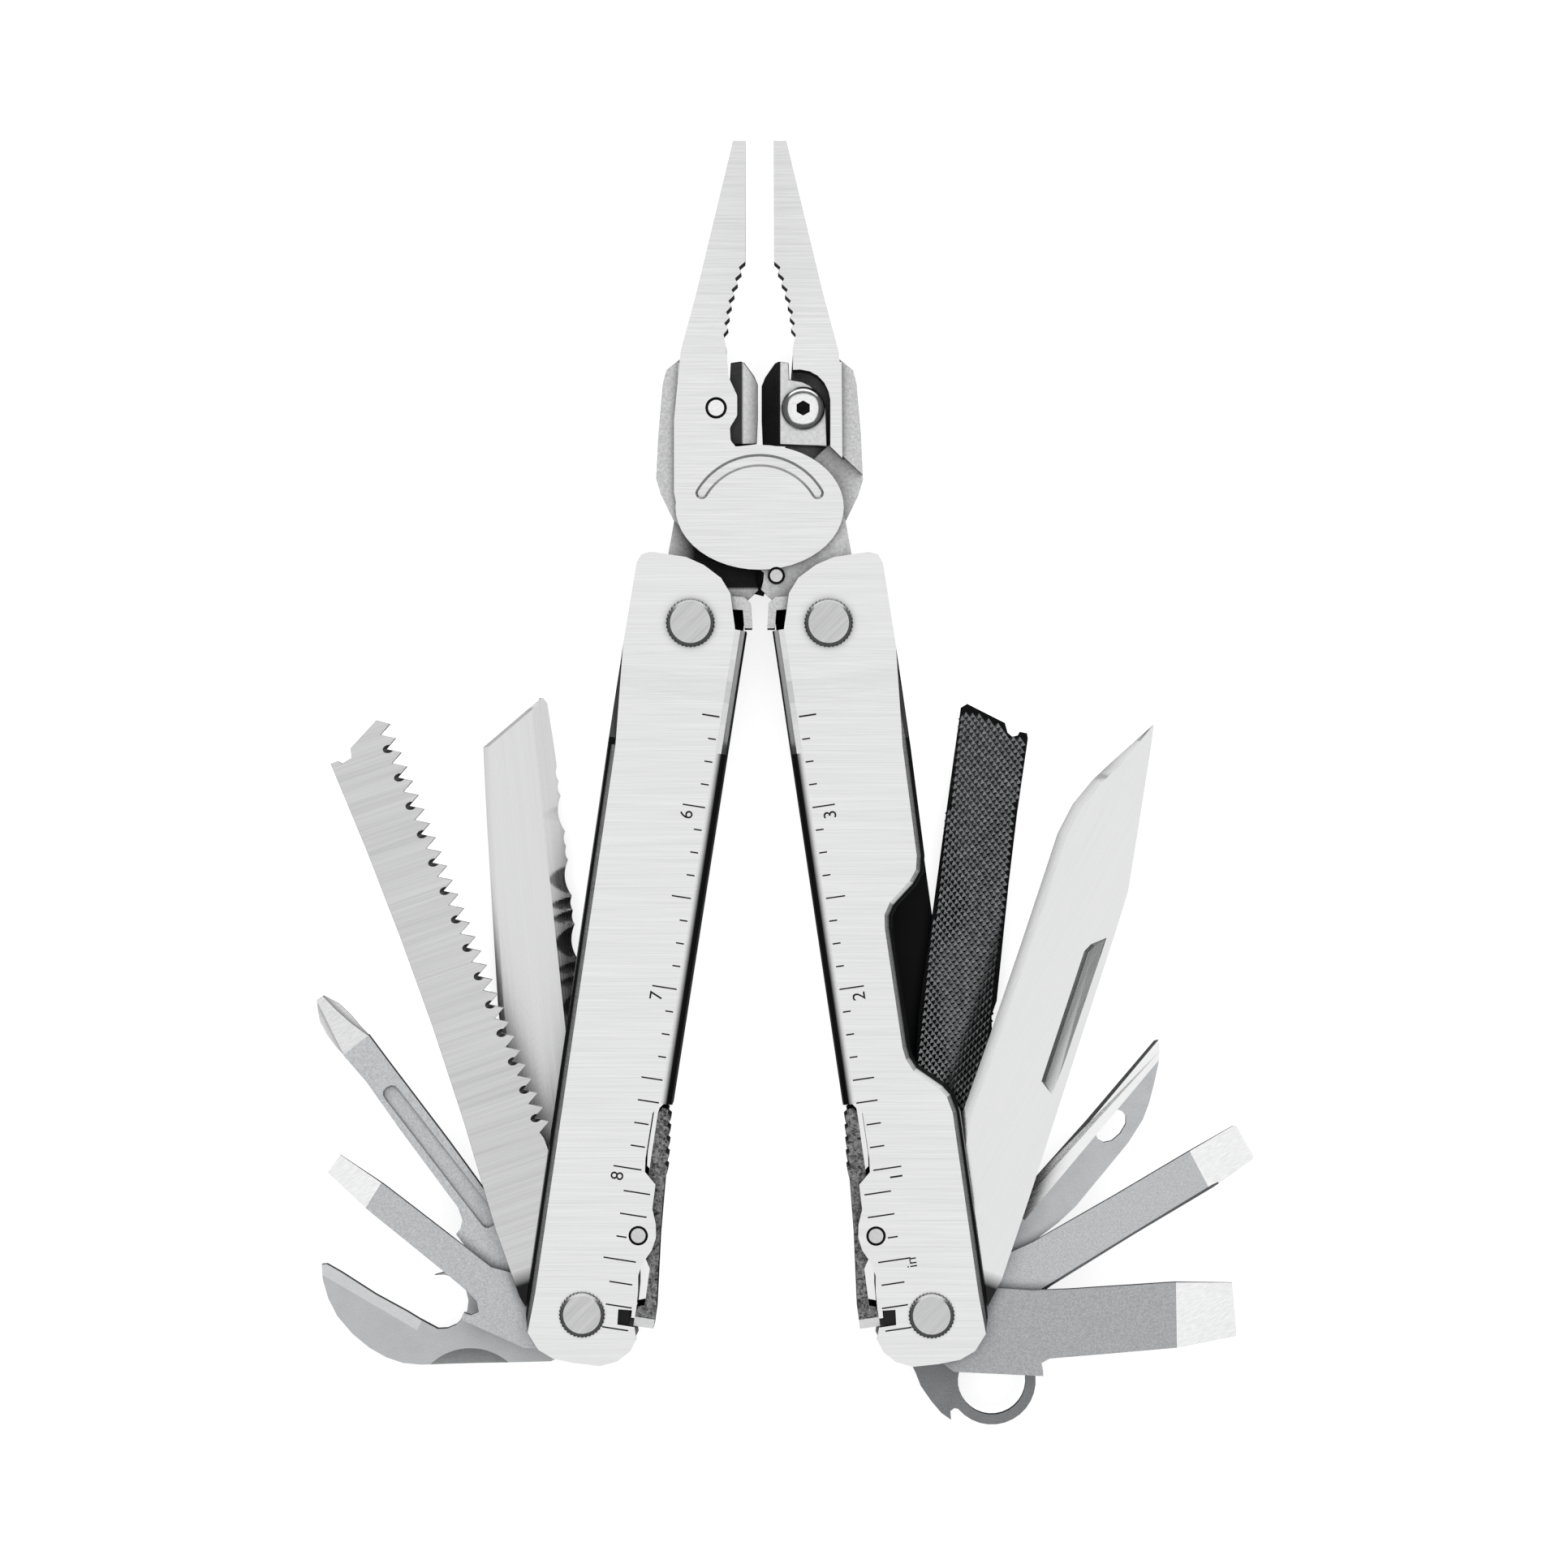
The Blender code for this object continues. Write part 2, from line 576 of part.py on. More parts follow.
def small_driver(name):
    blade = [(-2.6, 7.0), (0.3, 10.5), (1.4, 14.0), (1.0, 18.0), (0.1, 27.0), (-0.45, 32.7),
             (-0.7, 39.9), (2.3, 40.1), (3.65, 33.0), (5.3, 19.6), (5.95, 15.0),
             (6.4, 13.2), (7.5, 12.2), (8.5, 12.9), (8.7, 13.9), (9.7, 13.8)]
    body = folding_tool(name, blade, (8.4, 4.2), SMALL_DRIVER)
    edit(body, thin_tip(33.0, 40.0, 0.35))
    return body


def can_opener(name):
    """Curved can-opener blade with a bottle-opener hook behind it."""
    beak = [(-1.4, 8.5), (-0.6, 15.0), (-1.3, 19.4), (-0.1, 21.4)]
    hollow = [(3.1 - 3.8 * math.cos(math.radians(a)), 19.6 + 3.8 * math.sin(math.radians(a)))
              for a in range(25, -181, -20)]
    inner = [(6.1, 22.0), (5.4, 24.0), (4.0, 28.7), (2.0, 34.0), (1.3, 36.2)]
    back = [(1.5, 36.9), (3.5, 36.3), (5.9, 35.0), (8.0, 33.3), (10.0, 30.7), (11.4, 28.0),
            (12.2, 25.5), (12.5, 23.0), (12.2, 20.5)]
    blade = beak + hollow + inner + back
    return folding_tool(name, blade, (8.0, 3.0), CAN_OPENER)


def knife(name):
    """Clip-point blade with a long nail groove near its back."""
    blade = [(-3.6, 7.5), (-3.4, 14.0), (-4.6, 19.0), (-5.9, 27.0), (-6.2, 38.0), (-6.7, 51.0),
             (-7.2, 62.0), (-7.5, 68.0), (-7.0, 72.5), (-5.6, 76.7), (-4.0, 80.0), (-2.2, 83.5),
             (-0.5, 86.8), (0.2, 84.0), (2.0, 75.5), (4.4, 64.0), (4.8, 58.0), (5.4, 46.0),
             (6.1, 33.0), (6.8, 20.0)]
    body = folding_tool(name, blade, (7.3, 8.0), KNIFE)
    slot = [(2.9, 35.4), (4.6, 34.2), (4.85, 36.0), (4.05, 54.5), (3.9, 57.0), (2.5, 55.4),
            (2.0, 54.2)]
    return cut(body, plate("nail_slot", [slot], KNIFE[2] - 0.5, KNIFE[2] + 1))


def file(name):
    blade = [(-3.6, 7.5), (-3.4, 16.0), (-5.0, 24.0), (-5.8, 41.0), (-5.3, 56.0), (-4.8, 72.0),
             (-4.4, 83.6), (-3.6, 84.2), (1.9, 82.1), (2.4, 80.8), (3.1, 80.3), (3.9, 80.6),
             (4.1, 81.1), (5.1, 81.0), (5.3, 80.3), (4.9, 70.0), (4.75, 60.0), (4.8, 43.5),
             (4.3, 41.5), (6.5, 24.0)]
    return folding_tool(name, blade, (7.3, 5.0), FILE)


def awl(name):
    blade = [(-3.4, 7.5), (-1.6, 15.0), (-0.7, 23.0), (-0.35, 34.0), (-0.25, 48.6), (0.1, 49.1),
             (1.2, 48.0), (2.2, 46.5), (3.5, 44.0), (4.7, 41.5), (5.5, 39.2), (6.0, 35.5),
             (6.1, 24.0), (5.7, 20.8), (5.0, 17.6), (5.6, 12.0)]
    eye = [(1.9, 33.4), (2.6, 33.1), (3.4, 33.3), (4.1, 34.2), (4.35, 35.7), (4.1, 37.2),
           (3.4, 38.1), (2.6, 38.3), (1.9, 38.0)]
    return folding_tool(name, blade, (6.4, 4.0), AWL, [eye])


def medium_driver(name):
    blade = [(-3.4, 7.5), (-2.2, 12.5), (-1.9, 17.0), (-2.3, 30.0), (-2.85, 41.8), (-3.1, 49.0),
             (-2.7, 49.4), (1.9, 49.6), (2.3, 49.1), (3.1, 42.6), (3.7, 30.0), (4.6, 16.5),
             (5.6, 10.0)]
    body = folding_tool(name, blade, (6.4, 4.0), MEDIUM_DRIVER)
    edit(body, thin_tip(42.0, 49.4, 0.4))
    return body


def large_driver(name):
    blade = [(-3.5, 7.5), (-2.9, 14.0), (-3.0, 19.0), (-3.7, 33.6), (-3.5, 41.6), (3.9, 42.1),
             (5.3, 34.1), (6.0, 24.0), (6.5, 16.2), (7.1, 15.1), (8.2, 15.3), (8.9, 15.3)]
    body = folding_tool(name, blade, (8.1, 3.0), LARGE_DRIVER)
    edit(body, thin_tip(34.0, 42.0, 0.4))
    return body


def lanyard_ring(name):
    """Closed ring with a small spur, hinged on the tool axle."""
    blade = [(-6.0, 5.0), (-8.0, 10.2)] + arc(-2.5, 12.8, 6.1, 190, 10, 16) + [
        (3.9, 13.5), (4.6, 13.6), (5.1, 14.7), (5.8, 13.2), (6.2, 11.0), (6.4, 8.5), (6.1, 6.5)]
    eye = circle(-2.5, 12.8, 4.7)
    return folding_tool(name, blade, (5.9, 3.4), LANYARD_RING, [eye])


# ---------------------------------------------------------------- assembly

def surfaces():
    return {
        "bright": material("satin_steel", (0.80, 0.80, 0.81), 0.28),
        "forged": material("forged_steel", (0.62, 0.62, 0.63), 0.38),
        "bolt": material("bolt_steel", (0.50, 0.50, 0.50), 0.35),
        "blade": material("ground_blade", (0.72, 0.73, 0.74), 0.30),
        "blasted": material("blasted_steel", (0.45, 0.47, 0.49), 0.55),
        "file": material("file_black", (0.05, 0.05, 0.055), 0.50),
        "lever": material("cast_lever", (0.30, 0.30, 0.31), 0.50),
        "ring": material("dark_steel", (0.22, 0.22, 0.23), 0.50),
    }


def build_head(parts, frame, jaw_axis, look):
    fit(left_jaw("jaw_left"), parts, frame, look["forged"])
    right = left_jaw("jaw_right")
    flip_about_y(right)
    fit(right, parts, jaw_axis, look["forged"])
    pin = drum("pliers_pivot_pin", 0, 0, PIVOT_PIN_R, -3.1, 3.1)
    fit(pin, parts, frame, look["bolt"])
    fit(cutter("cutter_left"), parts, frame, look["blade"])
    fit(cutter_screw("cutter_screw_left"), parts, frame, look["bolt"])
    right_cutter = cutter("cutter_right")
    flip_about_y(right_cutter)
    fit(right_cutter, parts, jaw_axis, look["blade"])
    right_screw = cutter_screw("cutter_screw_right")
    flip_about_y(right_screw)
    fit(right_screw, parts, jaw_axis, look["bolt"])
    x, y = STOP_PIN
    front = drum("stop_pin_front", x, y, STOP_PIN_R, STOP_PIN_Z, 3.9, 20)
    fit(front, parts, frame, look["bolt"])
    back = drum("stop_pin_back", -x, y, STOP_PIN_R, -3.9, -STOP_PIN_Z, 20)
    fit(back, parts, jaw_axis, look["bolt"])


TOOLS = {
    "right": (("knife", knife, KNIFE, "blade"), ("file", file, FILE, "file"),
              ("large_driver", large_driver, LARGE_DRIVER, "blasted"),
              ("medium_driver", medium_driver, MEDIUM_DRIVER, "blasted"),
              ("awl", awl, AWL, "blasted"),
              ("lanyard_ring", lanyard_ring, LANYARD_RING, "ring")),
    "left": (("saw", saw, SAW, "blade"), ("serrated_knife", serrated_knife, SERRATED, "blade"),
             ("small_driver", small_driver, SMALL_DRIVER, "blasted"),
             ("phillips_driver", phillips_driver, PHILLIPS, "blasted"),
             ("can_opener", can_opener, CAN_OPENER, "blasted")),
}


def build_side(parts, parent, side, look):
    """One handle with its fasteners, lock and tools."""
    right = side == "right"
    sign = 1 if right else -1
    place = RIGHT_PIVOT if right else LEFT_PIVOT
    tilt = (RIGHT_ANGLE if right else LEFT_ANGLE) - 90
    swing = pivot(side + "_handle_axis", parent, *place, tilt)
    down = (0, -PIVOT_SPAN)

    def add(obj, surface, holder=swing, offset=down):
        if not right:
            mirror_piece(obj)
        return fit(obj, parts, holder, look[surface], offset)

    shell = handle("handle_" + side)
    if not right:
        # the left channel is the right one turned about its length, so its scoop is at the back
        shell.data.transform(Matrix.Scale(-1, 4, (0, 0, 1)))
        shell.data.flip_normals()
    add(shell, "bright")
    neck_z = OUTER_Z - NECK_DROP
    for kind, maker in (("", bolt), ("_cap", bolt_cap)):
        upper = maker("handle_bolt" + kind + "_" + side, PIVOT_SPAN, HANDLE_BOLT_R,
                      HANDLE_HEAD_R, neck_z)
        add(upper, "bolt")
        lower = maker("tool_axle" + kind + "_" + side, 0, TOOL_AXLE_R, AXLE_HEAD_R, OUTER_Z)
        add(lower, "bolt")
    add(drum("lock_pin_" + side, *LEVER_PIN, LEVER_PIN_R, -8.8, 8.8, 20), "bolt")
    add(lever_spring("lock_spring_" + side), "bolt")
    px, py = LEVER_PIN
    lock_axis = pivot(side + "_lock_axis", swing, sign * px, py - PIVOT_SPAN)
    add(lever("lock_lever_" + side), "lever", lock_axis, (-sign * px, -py))
    for name, maker, (angle, _, _), surface in TOOLS[side]:
        axis = pivot(name + "_axis", swing, 0, -PIVOT_SPAN, -sign * angle)
        add(maker(name), surface, axis, (0, 0))


def main():
    clear_scene()
    parts = collection("multi_tool")
    look = surfaces()
    frame = pivot("pliers_frame", None, 0, 0, z=-FACE_Z)
    jaw_axis = pivot("jaw_axis", frame, 0, 0)
    build_head(parts, frame, jaw_axis, look)
    build_side(parts, frame, "right", look)
    build_side(parts, jaw_axis, "left", look)


main()
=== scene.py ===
"""Looks of the folding pliers multi tool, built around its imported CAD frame.

Lengths are written in millimetres and scaled by MM. Each half of the tool is drawn in handle
coordinates, worked out from the frame's joints: origin on the tool axle, +Y towards the handle's
upper pivot, +X towards the open side of the channel, Z from the tool's middle plane.
"""
import json
import math

import bmesh
import bpy
from mathutils import Matrix, Vector


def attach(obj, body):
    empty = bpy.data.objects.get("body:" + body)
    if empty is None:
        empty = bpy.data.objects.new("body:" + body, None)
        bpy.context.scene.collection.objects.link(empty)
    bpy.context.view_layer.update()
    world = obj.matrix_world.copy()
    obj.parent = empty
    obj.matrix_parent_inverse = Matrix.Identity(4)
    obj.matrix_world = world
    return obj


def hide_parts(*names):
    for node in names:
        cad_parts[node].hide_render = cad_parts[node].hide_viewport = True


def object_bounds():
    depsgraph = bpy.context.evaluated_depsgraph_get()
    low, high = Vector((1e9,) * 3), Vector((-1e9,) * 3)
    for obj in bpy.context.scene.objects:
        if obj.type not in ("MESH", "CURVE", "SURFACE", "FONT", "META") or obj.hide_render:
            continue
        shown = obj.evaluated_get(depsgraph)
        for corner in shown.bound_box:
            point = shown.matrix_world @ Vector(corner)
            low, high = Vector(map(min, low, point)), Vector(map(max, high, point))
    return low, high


MM = 0.001

MIDDLE_Z = -4.8                  # the tool's middle plane in the frame
SIDES = ("right", "left")
FIRST_TOOL = {"right": "knife_fold", "left": "saw_fold"}

IMAGE_WIDTH = 216.1              # width of the picture on the plane z = 0
VIEW_CENTRE = (3.36, -38.14)
LENS = 180.0
SENSOR = 36.0

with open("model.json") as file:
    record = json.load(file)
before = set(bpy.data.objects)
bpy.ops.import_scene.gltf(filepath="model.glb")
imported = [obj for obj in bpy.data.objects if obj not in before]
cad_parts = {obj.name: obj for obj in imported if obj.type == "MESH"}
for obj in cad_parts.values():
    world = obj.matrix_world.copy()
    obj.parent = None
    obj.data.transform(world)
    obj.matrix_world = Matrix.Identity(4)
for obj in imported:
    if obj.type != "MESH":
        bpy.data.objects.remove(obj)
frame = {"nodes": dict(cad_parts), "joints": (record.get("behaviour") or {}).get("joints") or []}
CAD_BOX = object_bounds()


# ---------------------------------------------------------------- places

def joint_anchor(name):
    found = next(j for j in frame["joints"] if j["name"] == name)
    return Vector(found["pos_m"])


def handle_matrix(side):
    """Handle coordinates in millimetres to the frame in metres."""
    foot = joint_anchor(FIRST_TOOL[side])
    top = joint_anchor("handle_" + side + "_fold")
    up = Vector((top.x - foot.x, top.y - foot.y, 0)).normalized()
    sign = 1 if side == "right" else -1
    open_side = Vector((up.y, -up.x, 0)) * sign
    matrix = Matrix((open_side, up, Vector((0, 0, 1)))).transposed().to_4x4()
    matrix.translation = (foot.x, foot.y, MIDDLE_Z * MM)
    return matrix @ Matrix.Scale(MM, 4)


def tool_matrix(name, side):
    """Coordinates of a fanned-out tool, +Y towards its tip."""
    joint = next(j for j in frame["joints"] if j["name"] == name + "_fold")
    angle = 180 + joint["range_deg"][0]
    return handle_matrix(side) @ Matrix.Rotation(math.radians(-angle), 4, "Z")


def head_matrix():
    return Matrix.Translation((0, 0, MIDDLE_Z * MM)) @ Matrix.Scale(MM, 4)


def cutter_places():
    """Each side's cutter coordinates; the right cutter is the left one turned to the back."""
    turn = Matrix.Rotation(math.pi, 4, "Y")
    return ("left", head_matrix()), ("right", head_matrix() @ turn)


# ---------------------------------------------------------------- materials

class Shader:
    """Short way to wire a procedural material."""

    def __init__(self, name, metallic=1.0):
        self.material = bpy.data.materials.new(name)
        self.material.use_nodes = True
        self.tree = self.material.node_tree
        self.surface = self.tree.nodes["Principled BSDF"]
        self.surface.inputs["Metallic"].default_value = metallic
        self.place = self.node("TexCoord").outputs["Object"]

    def link(self, source, node, socket):
        """Set a socket to a number, or wire another node's output to it."""
        if isinstance(source, (int, float)):
            node.inputs[socket].default_value = source
        else:
            self.tree.links.new(source, node.inputs[socket])

    def node(self, kind):
        return self.tree.nodes.new("ShaderNode" + kind)

    def scaled(self, scale, angle=0.0):
        """Object coordinates in millimetres times scale, turned about Z."""
        node = self.node("Mapping")
        node.vector_type = "TEXTURE"
        node.inputs["Rotation"].default_value = (0, 0, math.radians(angle))
        node.inputs["Scale"].default_value = [MM / s for s in scale]
        self.link(self.place, node, "Vector")
        return node.outputs["Vector"]

    def noise(self, scale, detail=4.0, angle=0.0, rough=0.55):
        node = self.node("TexNoise")
        node.inputs["Scale"].default_value = 1.0
        node.inputs["Detail"].default_value = detail
        node.inputs["Roughness"].default_value = rough
        self.link(self.scaled(scale, angle), node, "Vector")
        return node.outputs["Fac"]

    def along(self, matrix, direction=(0, 1, 0)):
        """Coordinate in millimetres along a direction of a tool, from its axle."""
        up = (matrix.to_3x3() @ Vector(direction)).normalized()
        node = self.node("VectorMath")
        node.operation = "DOT_PRODUCT"
        self.link(self.place, node, 0)
        node.inputs[1].default_value = up
        offset = self.math("SUBTRACT", node.outputs["Value"], matrix.translation.dot(up))
        return self.math("DIVIDE", offset, MM)

    def painted_shade(self, distance, dark):
        """Painted shade: 1 on open surfaces, down to dark where other surfaces crowd in."""
        node = self.node("AmbientOcclusion")
        node.samples = 8
        node.inputs["Distance"].default_value = distance * MM
        return self.ramp(node.outputs["AO"], dark, 1.0, 0.15, 0.80)

    def ramp(self, source, low, high, start=0.3, end=0.7):
        """Map a value range to another range, or to a colour range for tuples."""
        node = self.node("MapRange")
        vector = isinstance(low, tuple)
        if vector:
            node.data_type = "FLOAT_VECTOR"
            node.inputs[7].default_value = (start,) * 3
            node.inputs[8].default_value = (end,) * 3
            node.inputs[9].default_value = low
            node.inputs[10].default_value = high
            self.link(source, node, 6)
            return node.outputs[1]
        node.inputs["From Min"].default_value = start
        node.inputs["From Max"].default_value = end
        node.inputs["To Min"].default_value = low
        node.inputs["To Max"].default_value = high
        self.link(source, node, "Value")
        return node.outputs["Result"]

    def math(self, operation, a, b=0.0):
        node = self.node("Math")
        node.operation = operation
        self.link(a, node, 0)
        self.link(b, node, 1)
        return node.outputs["Value"]

    def times(self, a, b):
        return self.math("MULTIPLY", a, b)

    def lessened(self, source, share):
        """1 where the source is 0, and less by this share where it is 1."""
        return self.math("SUBTRACT", 1.0, self.times(source, share))

    def axis(self, letter):
        node = self.node("SeparateXYZ")
        self.link(self.place, node, "Vector")
        return node.outputs[letter]

    def mix(self, factor, a, b):
        node = self.node("Mix")
        node.data_type = "RGBA"
        self.link(factor, node, "Factor")
        self.link(a, node, 6)
        self.link(b, node, 7)
        return node.outputs[2]

    def dim(self, colour, share):
        node = self.node("VectorMath")
        node.operation = "SCALE"
        self.link(colour, node, 0)
        self.link(share, node, "Scale")
        return node.outputs["Vector"]

    def finish(self, colour, rough, height, depth):
        """Connect colour, roughness and a bump whose depth is in millimetres."""
        self.link(colour, self.surface, "Base Color")
        self.link(rough, self.surface, "Roughness")
        bump = self.node("Bump")
        bump.inputs["Strength"].default_value = 1.0
        bump.inputs["Distance"].default_value = depth * MM
        self.link(height, bump, "Height")
        self.link(bump.outputs["Normal"], self.surface, "Normal")
        return self.material


def grey(value, tint=0.0):
    return (value * (1 - tint), value, value * (1 + tint))


HUB_SHADE = (6.4, 8.5)           # a hub's shade ends between these distances from its axle


def brushed(name, low, high, rough, angle=0.0, length=0.06, width=6.0, depth=0.0012,
            tool=None):
    """Steel with fine parallel brush lines; painted shade darkens a tool's hub inside its handle.
    """
    made = Shader(name)
    lines = made.noise((length, width, width), 5.0, angle)
    broad = made.noise((length * 0.6, width * 0.2, width * 0.2), 3.0, angle)
    both = made.math("ADD", made.times(lines, 0.7), made.times(broad, 0.3))
    colour = made.ramp(both, grey(low), grey(high), 0.34, 0.66)
    if tool:
        # painted shade on the hub where it sits in the handle
        hub = made.ramp(made.along(tool_matrix(*tool)), 0.03, 1.0, *HUB_SHADE)
        colour = made.dim(colour, hub)
    return made.finish(colour, made.ramp(lines, rough * 0.85, rough * 1.2), lines, depth)


CHANNEL_Z = 7.68                 # half width of a handle's channel
SPINE_X = -6.45                  # inner face of the spine
# BEND_START, BEND_END and BEND_TOP place a painted dark reflection on the rounded edges of the
# walls
BEND_START = (7.3, 7.8)          # heights over which a rounded edge of a wall turns dark,
BEND_END = (8.70, 8.82)          # and bright again
BEND_TOP = 79                    # the dark edges end where the wall steps in


def handle_steel(name, side):
    """Fine cross brushing outside; dull with painted shade inside the channel, and painted dark
    reflections along rounded edges.
    """
    made = Shader(name)
    lines = made.noise((0.06, 8.0, 8.0), 4.0)
    broad = made.noise((0.03, 1.6, 1.6), 3.0)
    both = made.math("ADD", made.times(lines, 0.75), made.times(broad, 0.25))
    satin = made.ramp(both, grey(0.52), grey(0.62), 0.34, 0.66)
    height = made.math("ABSOLUTE", made.math("SUBTRACT", made.axis("Z"), MIDDLE_Z * MM))
    across = made.along(handle_matrix(side), (1, 0, 0))
    between = made.math("LESS_THAN", height, CHANNEL_Z * MM)
    past_spine = made.math("GREATER_THAN", across, SPINE_X)
    # painted shade on the inner faces of the channel
    inside = made.times(between, past_spine)
    share = made.lessened(inside, 0.95)
    # painted shade where other surfaces crowd in
    share = made.times(share, made.painted_shade(6.0, 0.15))
    # painted dark reflection along the rounded edges of the walls
    painted_dark_edge = made.times(made.ramp(height, 0.0, 1.0, *(z * MM for z in BEND_START)),
                      made.ramp(height, 1.0, 0.0, *(z * MM for z in BEND_END)))
    under_step = made.math("LESS_THAN", made.along(handle_matrix(side)), BEND_TOP)
    painted_dark_edge = made.times(painted_dark_edge, under_step)
    share = made.times(share, made.lessened(painted_dark_edge, 0.88))
    rough = made.math("ADD", made.ramp(lines, 0.15, 0.21), made.times(inside, 0.3))
    return made.finish(made.dim(satin, share), rough, lines, 0.0006)


def grained(name, low, high, rough, scale=5.0, tint=0.0, depth=0.012, dark=1.0):
    """Blasted or forged steel with a fine mottled grain, and painted shade where surfaces crowd
    in when dark is under 1.
    """
    made = Shader(name)
    fine = made.noise((scale, scale, scale), 6.0, rough=0.7)
    broad = made.noise((0.35, 0.35, 0.35), 2.0)
    both = made.math("ADD", made.times(fine, 0.85), made.times(broad, 0.15))
    colour = made.ramp(both, grey(low, tint), grey(high, tint), 0.34, 0.66)
    # painted shade where other surfaces crowd in
    if dark < 1:
        colour = made.dim(colour, made.painted_shade(1.8, dark))
    return made.finish(colour, made.ramp(fine, rough * 0.9, rough * 1.15), fine, depth)


def ground_tip(name, tool, side, start, low=0.40, high=0.60, bright=0.78):
    """Blasted steel that turns to bright ground steel beyond a height, with painted shade where
    surfaces crowd in.
    """
    made = Shader(name)
    tip = made.math("GREATER_THAN", made.along(tool_matrix(tool, side)), start)
    fine = made.noise((4.5, 4.5, 4.5), 6.0, rough=0.7)
    lines = made.noise((1.0, 6.0, 6.0), 3.0, 30)
    blasted = made.ramp(fine, grey(low, 0.02), grey(high, 0.02), 0.36, 0.64)
    ground = made.ramp(lines, grey(bright - 0.1), grey(bright), 0.36, 0.64)
    rough = made.math("SUBTRACT", 0.50, made.times(tip, 0.20))
    height = made.times(fine, made.math("SUBTRACT", 1.1, tip))
    # painted shade, down to black, where other surfaces crowd in
    colour = made.dim(made.mix(tip, blasted, ground), made.painted_shade(2.4, 0.0))
    return made.finish(colour, rough, height, 0.010)


PLATE_Z = 3.36                   # satin plates of the jaws lie beyond this height
PLATE_Y = -8.9                   # and above this line
NOSE_Y = 21.4                    # foot of the satin nose
ROOT_LEFT = (-12.5, -9.0)        # the hollow beside the right jaw's tang: shade comes in
ROOT_RIGHT = (1.0, 3.0)          # between these widths and goes out between these,
ROOT_Y = (-11.3, -10.9)          # above this line
ROOT_Z = MIDDLE_Z + 0.5          # and below this height


def jaw_steel(name, side):
    """Satin on the front and back plates and the nose, mottled forged steel elsewhere; painted
    shade where surfaces crowd in and in the hollow beside the right jaw's tang.
    """
    made = Shader(name)
    height = made.math("ABSOLUTE", made.math("SUBTRACT", made.axis("Z"), MIDDLE_Z * MM))
    plate = made.math("GREATER_THAN", height, PLATE_Z * MM)
    plate = made.times(plate, made.math("GREATER_THAN", made.axis("Y"), PLATE_Y * MM))
    nose = made.math("GREATER_THAN", made.axis("Y"), NOSE_Y * MM)
    bright = made.math("MAXIMUM", plate, nose)
    lines = made.noise((0.08, 6.0, 6.0), 5.0)
    satin = made.ramp(lines, grey(0.54), grey(0.64), 0.34, 0.66)
    grain = made.noise((2.6, 2.6, 2.6), 6.0, rough=0.7)
    forged = made.ramp(grain, grey(0.46), grey(0.68), 0.36, 0.64)
    height_mix = made.math("ADD", made.times(lines, bright),
                           made.times(grain, made.math("SUBTRACT", 1.0, bright)))
    rough = made.math("SUBTRACT", 0.44, made.times(bright, 0.18))
    # painted shade where other surfaces crowd in
    share = made.painted_shade(4.0, 0.04)
    # painted shade in the hollow beside the right jaw's tang
    if side == "right":
        across = made.ramp(made.axis("X"), 0.0, 1.0, *(x * MM for x in ROOT_LEFT))
        upper = made.ramp(made.axis("Y"), 0.0, 1.0, *(y * MM for y in ROOT_Y))
        lower = made.math("LESS_THAN", made.axis("Z"), ROOT_Z * MM)
        left = made.ramp(made.axis("X"), 1.0, 0.0, *(x * MM for x in ROOT_RIGHT))
        root = made.times(made.times(across, upper), made.times(lower, left))
        share = made.times(share, made.lessened(root, 0.97))
    colour = made.dim(made.mix(bright, forged, satin), share)
    return made.finish(colour, rough, height_mix, 0.0012)


LEVER_TOOTH = (-2.2, 0.75)       # span of the bright tooth, from the tool axle
CHEEK_SHADE = (-2.5, -2.2)       # the cheek's shade on the left cutter, across the tool


def lever_steel(name, side):
    """Dark cast lever, lighter at the tooth at its foot, with painted shade where surfaces crowd
    in.
    """
    made = Shader(name)
    grain = made.noise((2.2, 2.2, 2.2), 6.0, rough=0.8)
    cast = made.ramp(grain, grey(0.015), grey(0.34), 0.40, 0.66)
    height = made.along(handle_matrix(side))
    tooth = made.times(made.math("GREATER_THAN", height, LEVER_TOOTH[0]),
                       made.math("LESS_THAN", height, LEVER_TOOTH[1]))
    colour = made.mix(tooth, cast, made.ramp(grain, grey(0.55), grey(0.68)))
    # painted shade where other surfaces crowd in
    return made.finish(made.dim(colour, made.painted_shade(2.0, 0.25)), 0.38, grain, 0.03)


def cutter_steel(name, shaded):
    """Bright wire cutter with painted shade where surfaces crowd in; the left one has painted
    shade where the cheek hangs over it.
    """
    made = Shader(name)
    grain = made.noise((2.5, 2.5, 2.5), 5.0, rough=0.6)
    colour = made.ramp(grain, grey(0.46), grey(0.58), 0.34, 0.66)
    share = made.painted_shade(1.5, 0.1)
    # painted shadow of the cheek over the left cutter
    if shaded:
        under = made.ramp(made.axis("X"), 0.06, 1.0, *(x * MM for x in CHEEK_SHADE))
        share = made.times(share, under)
    return made.finish(made.dim(colour, share), 0.30, grain, 0.002)


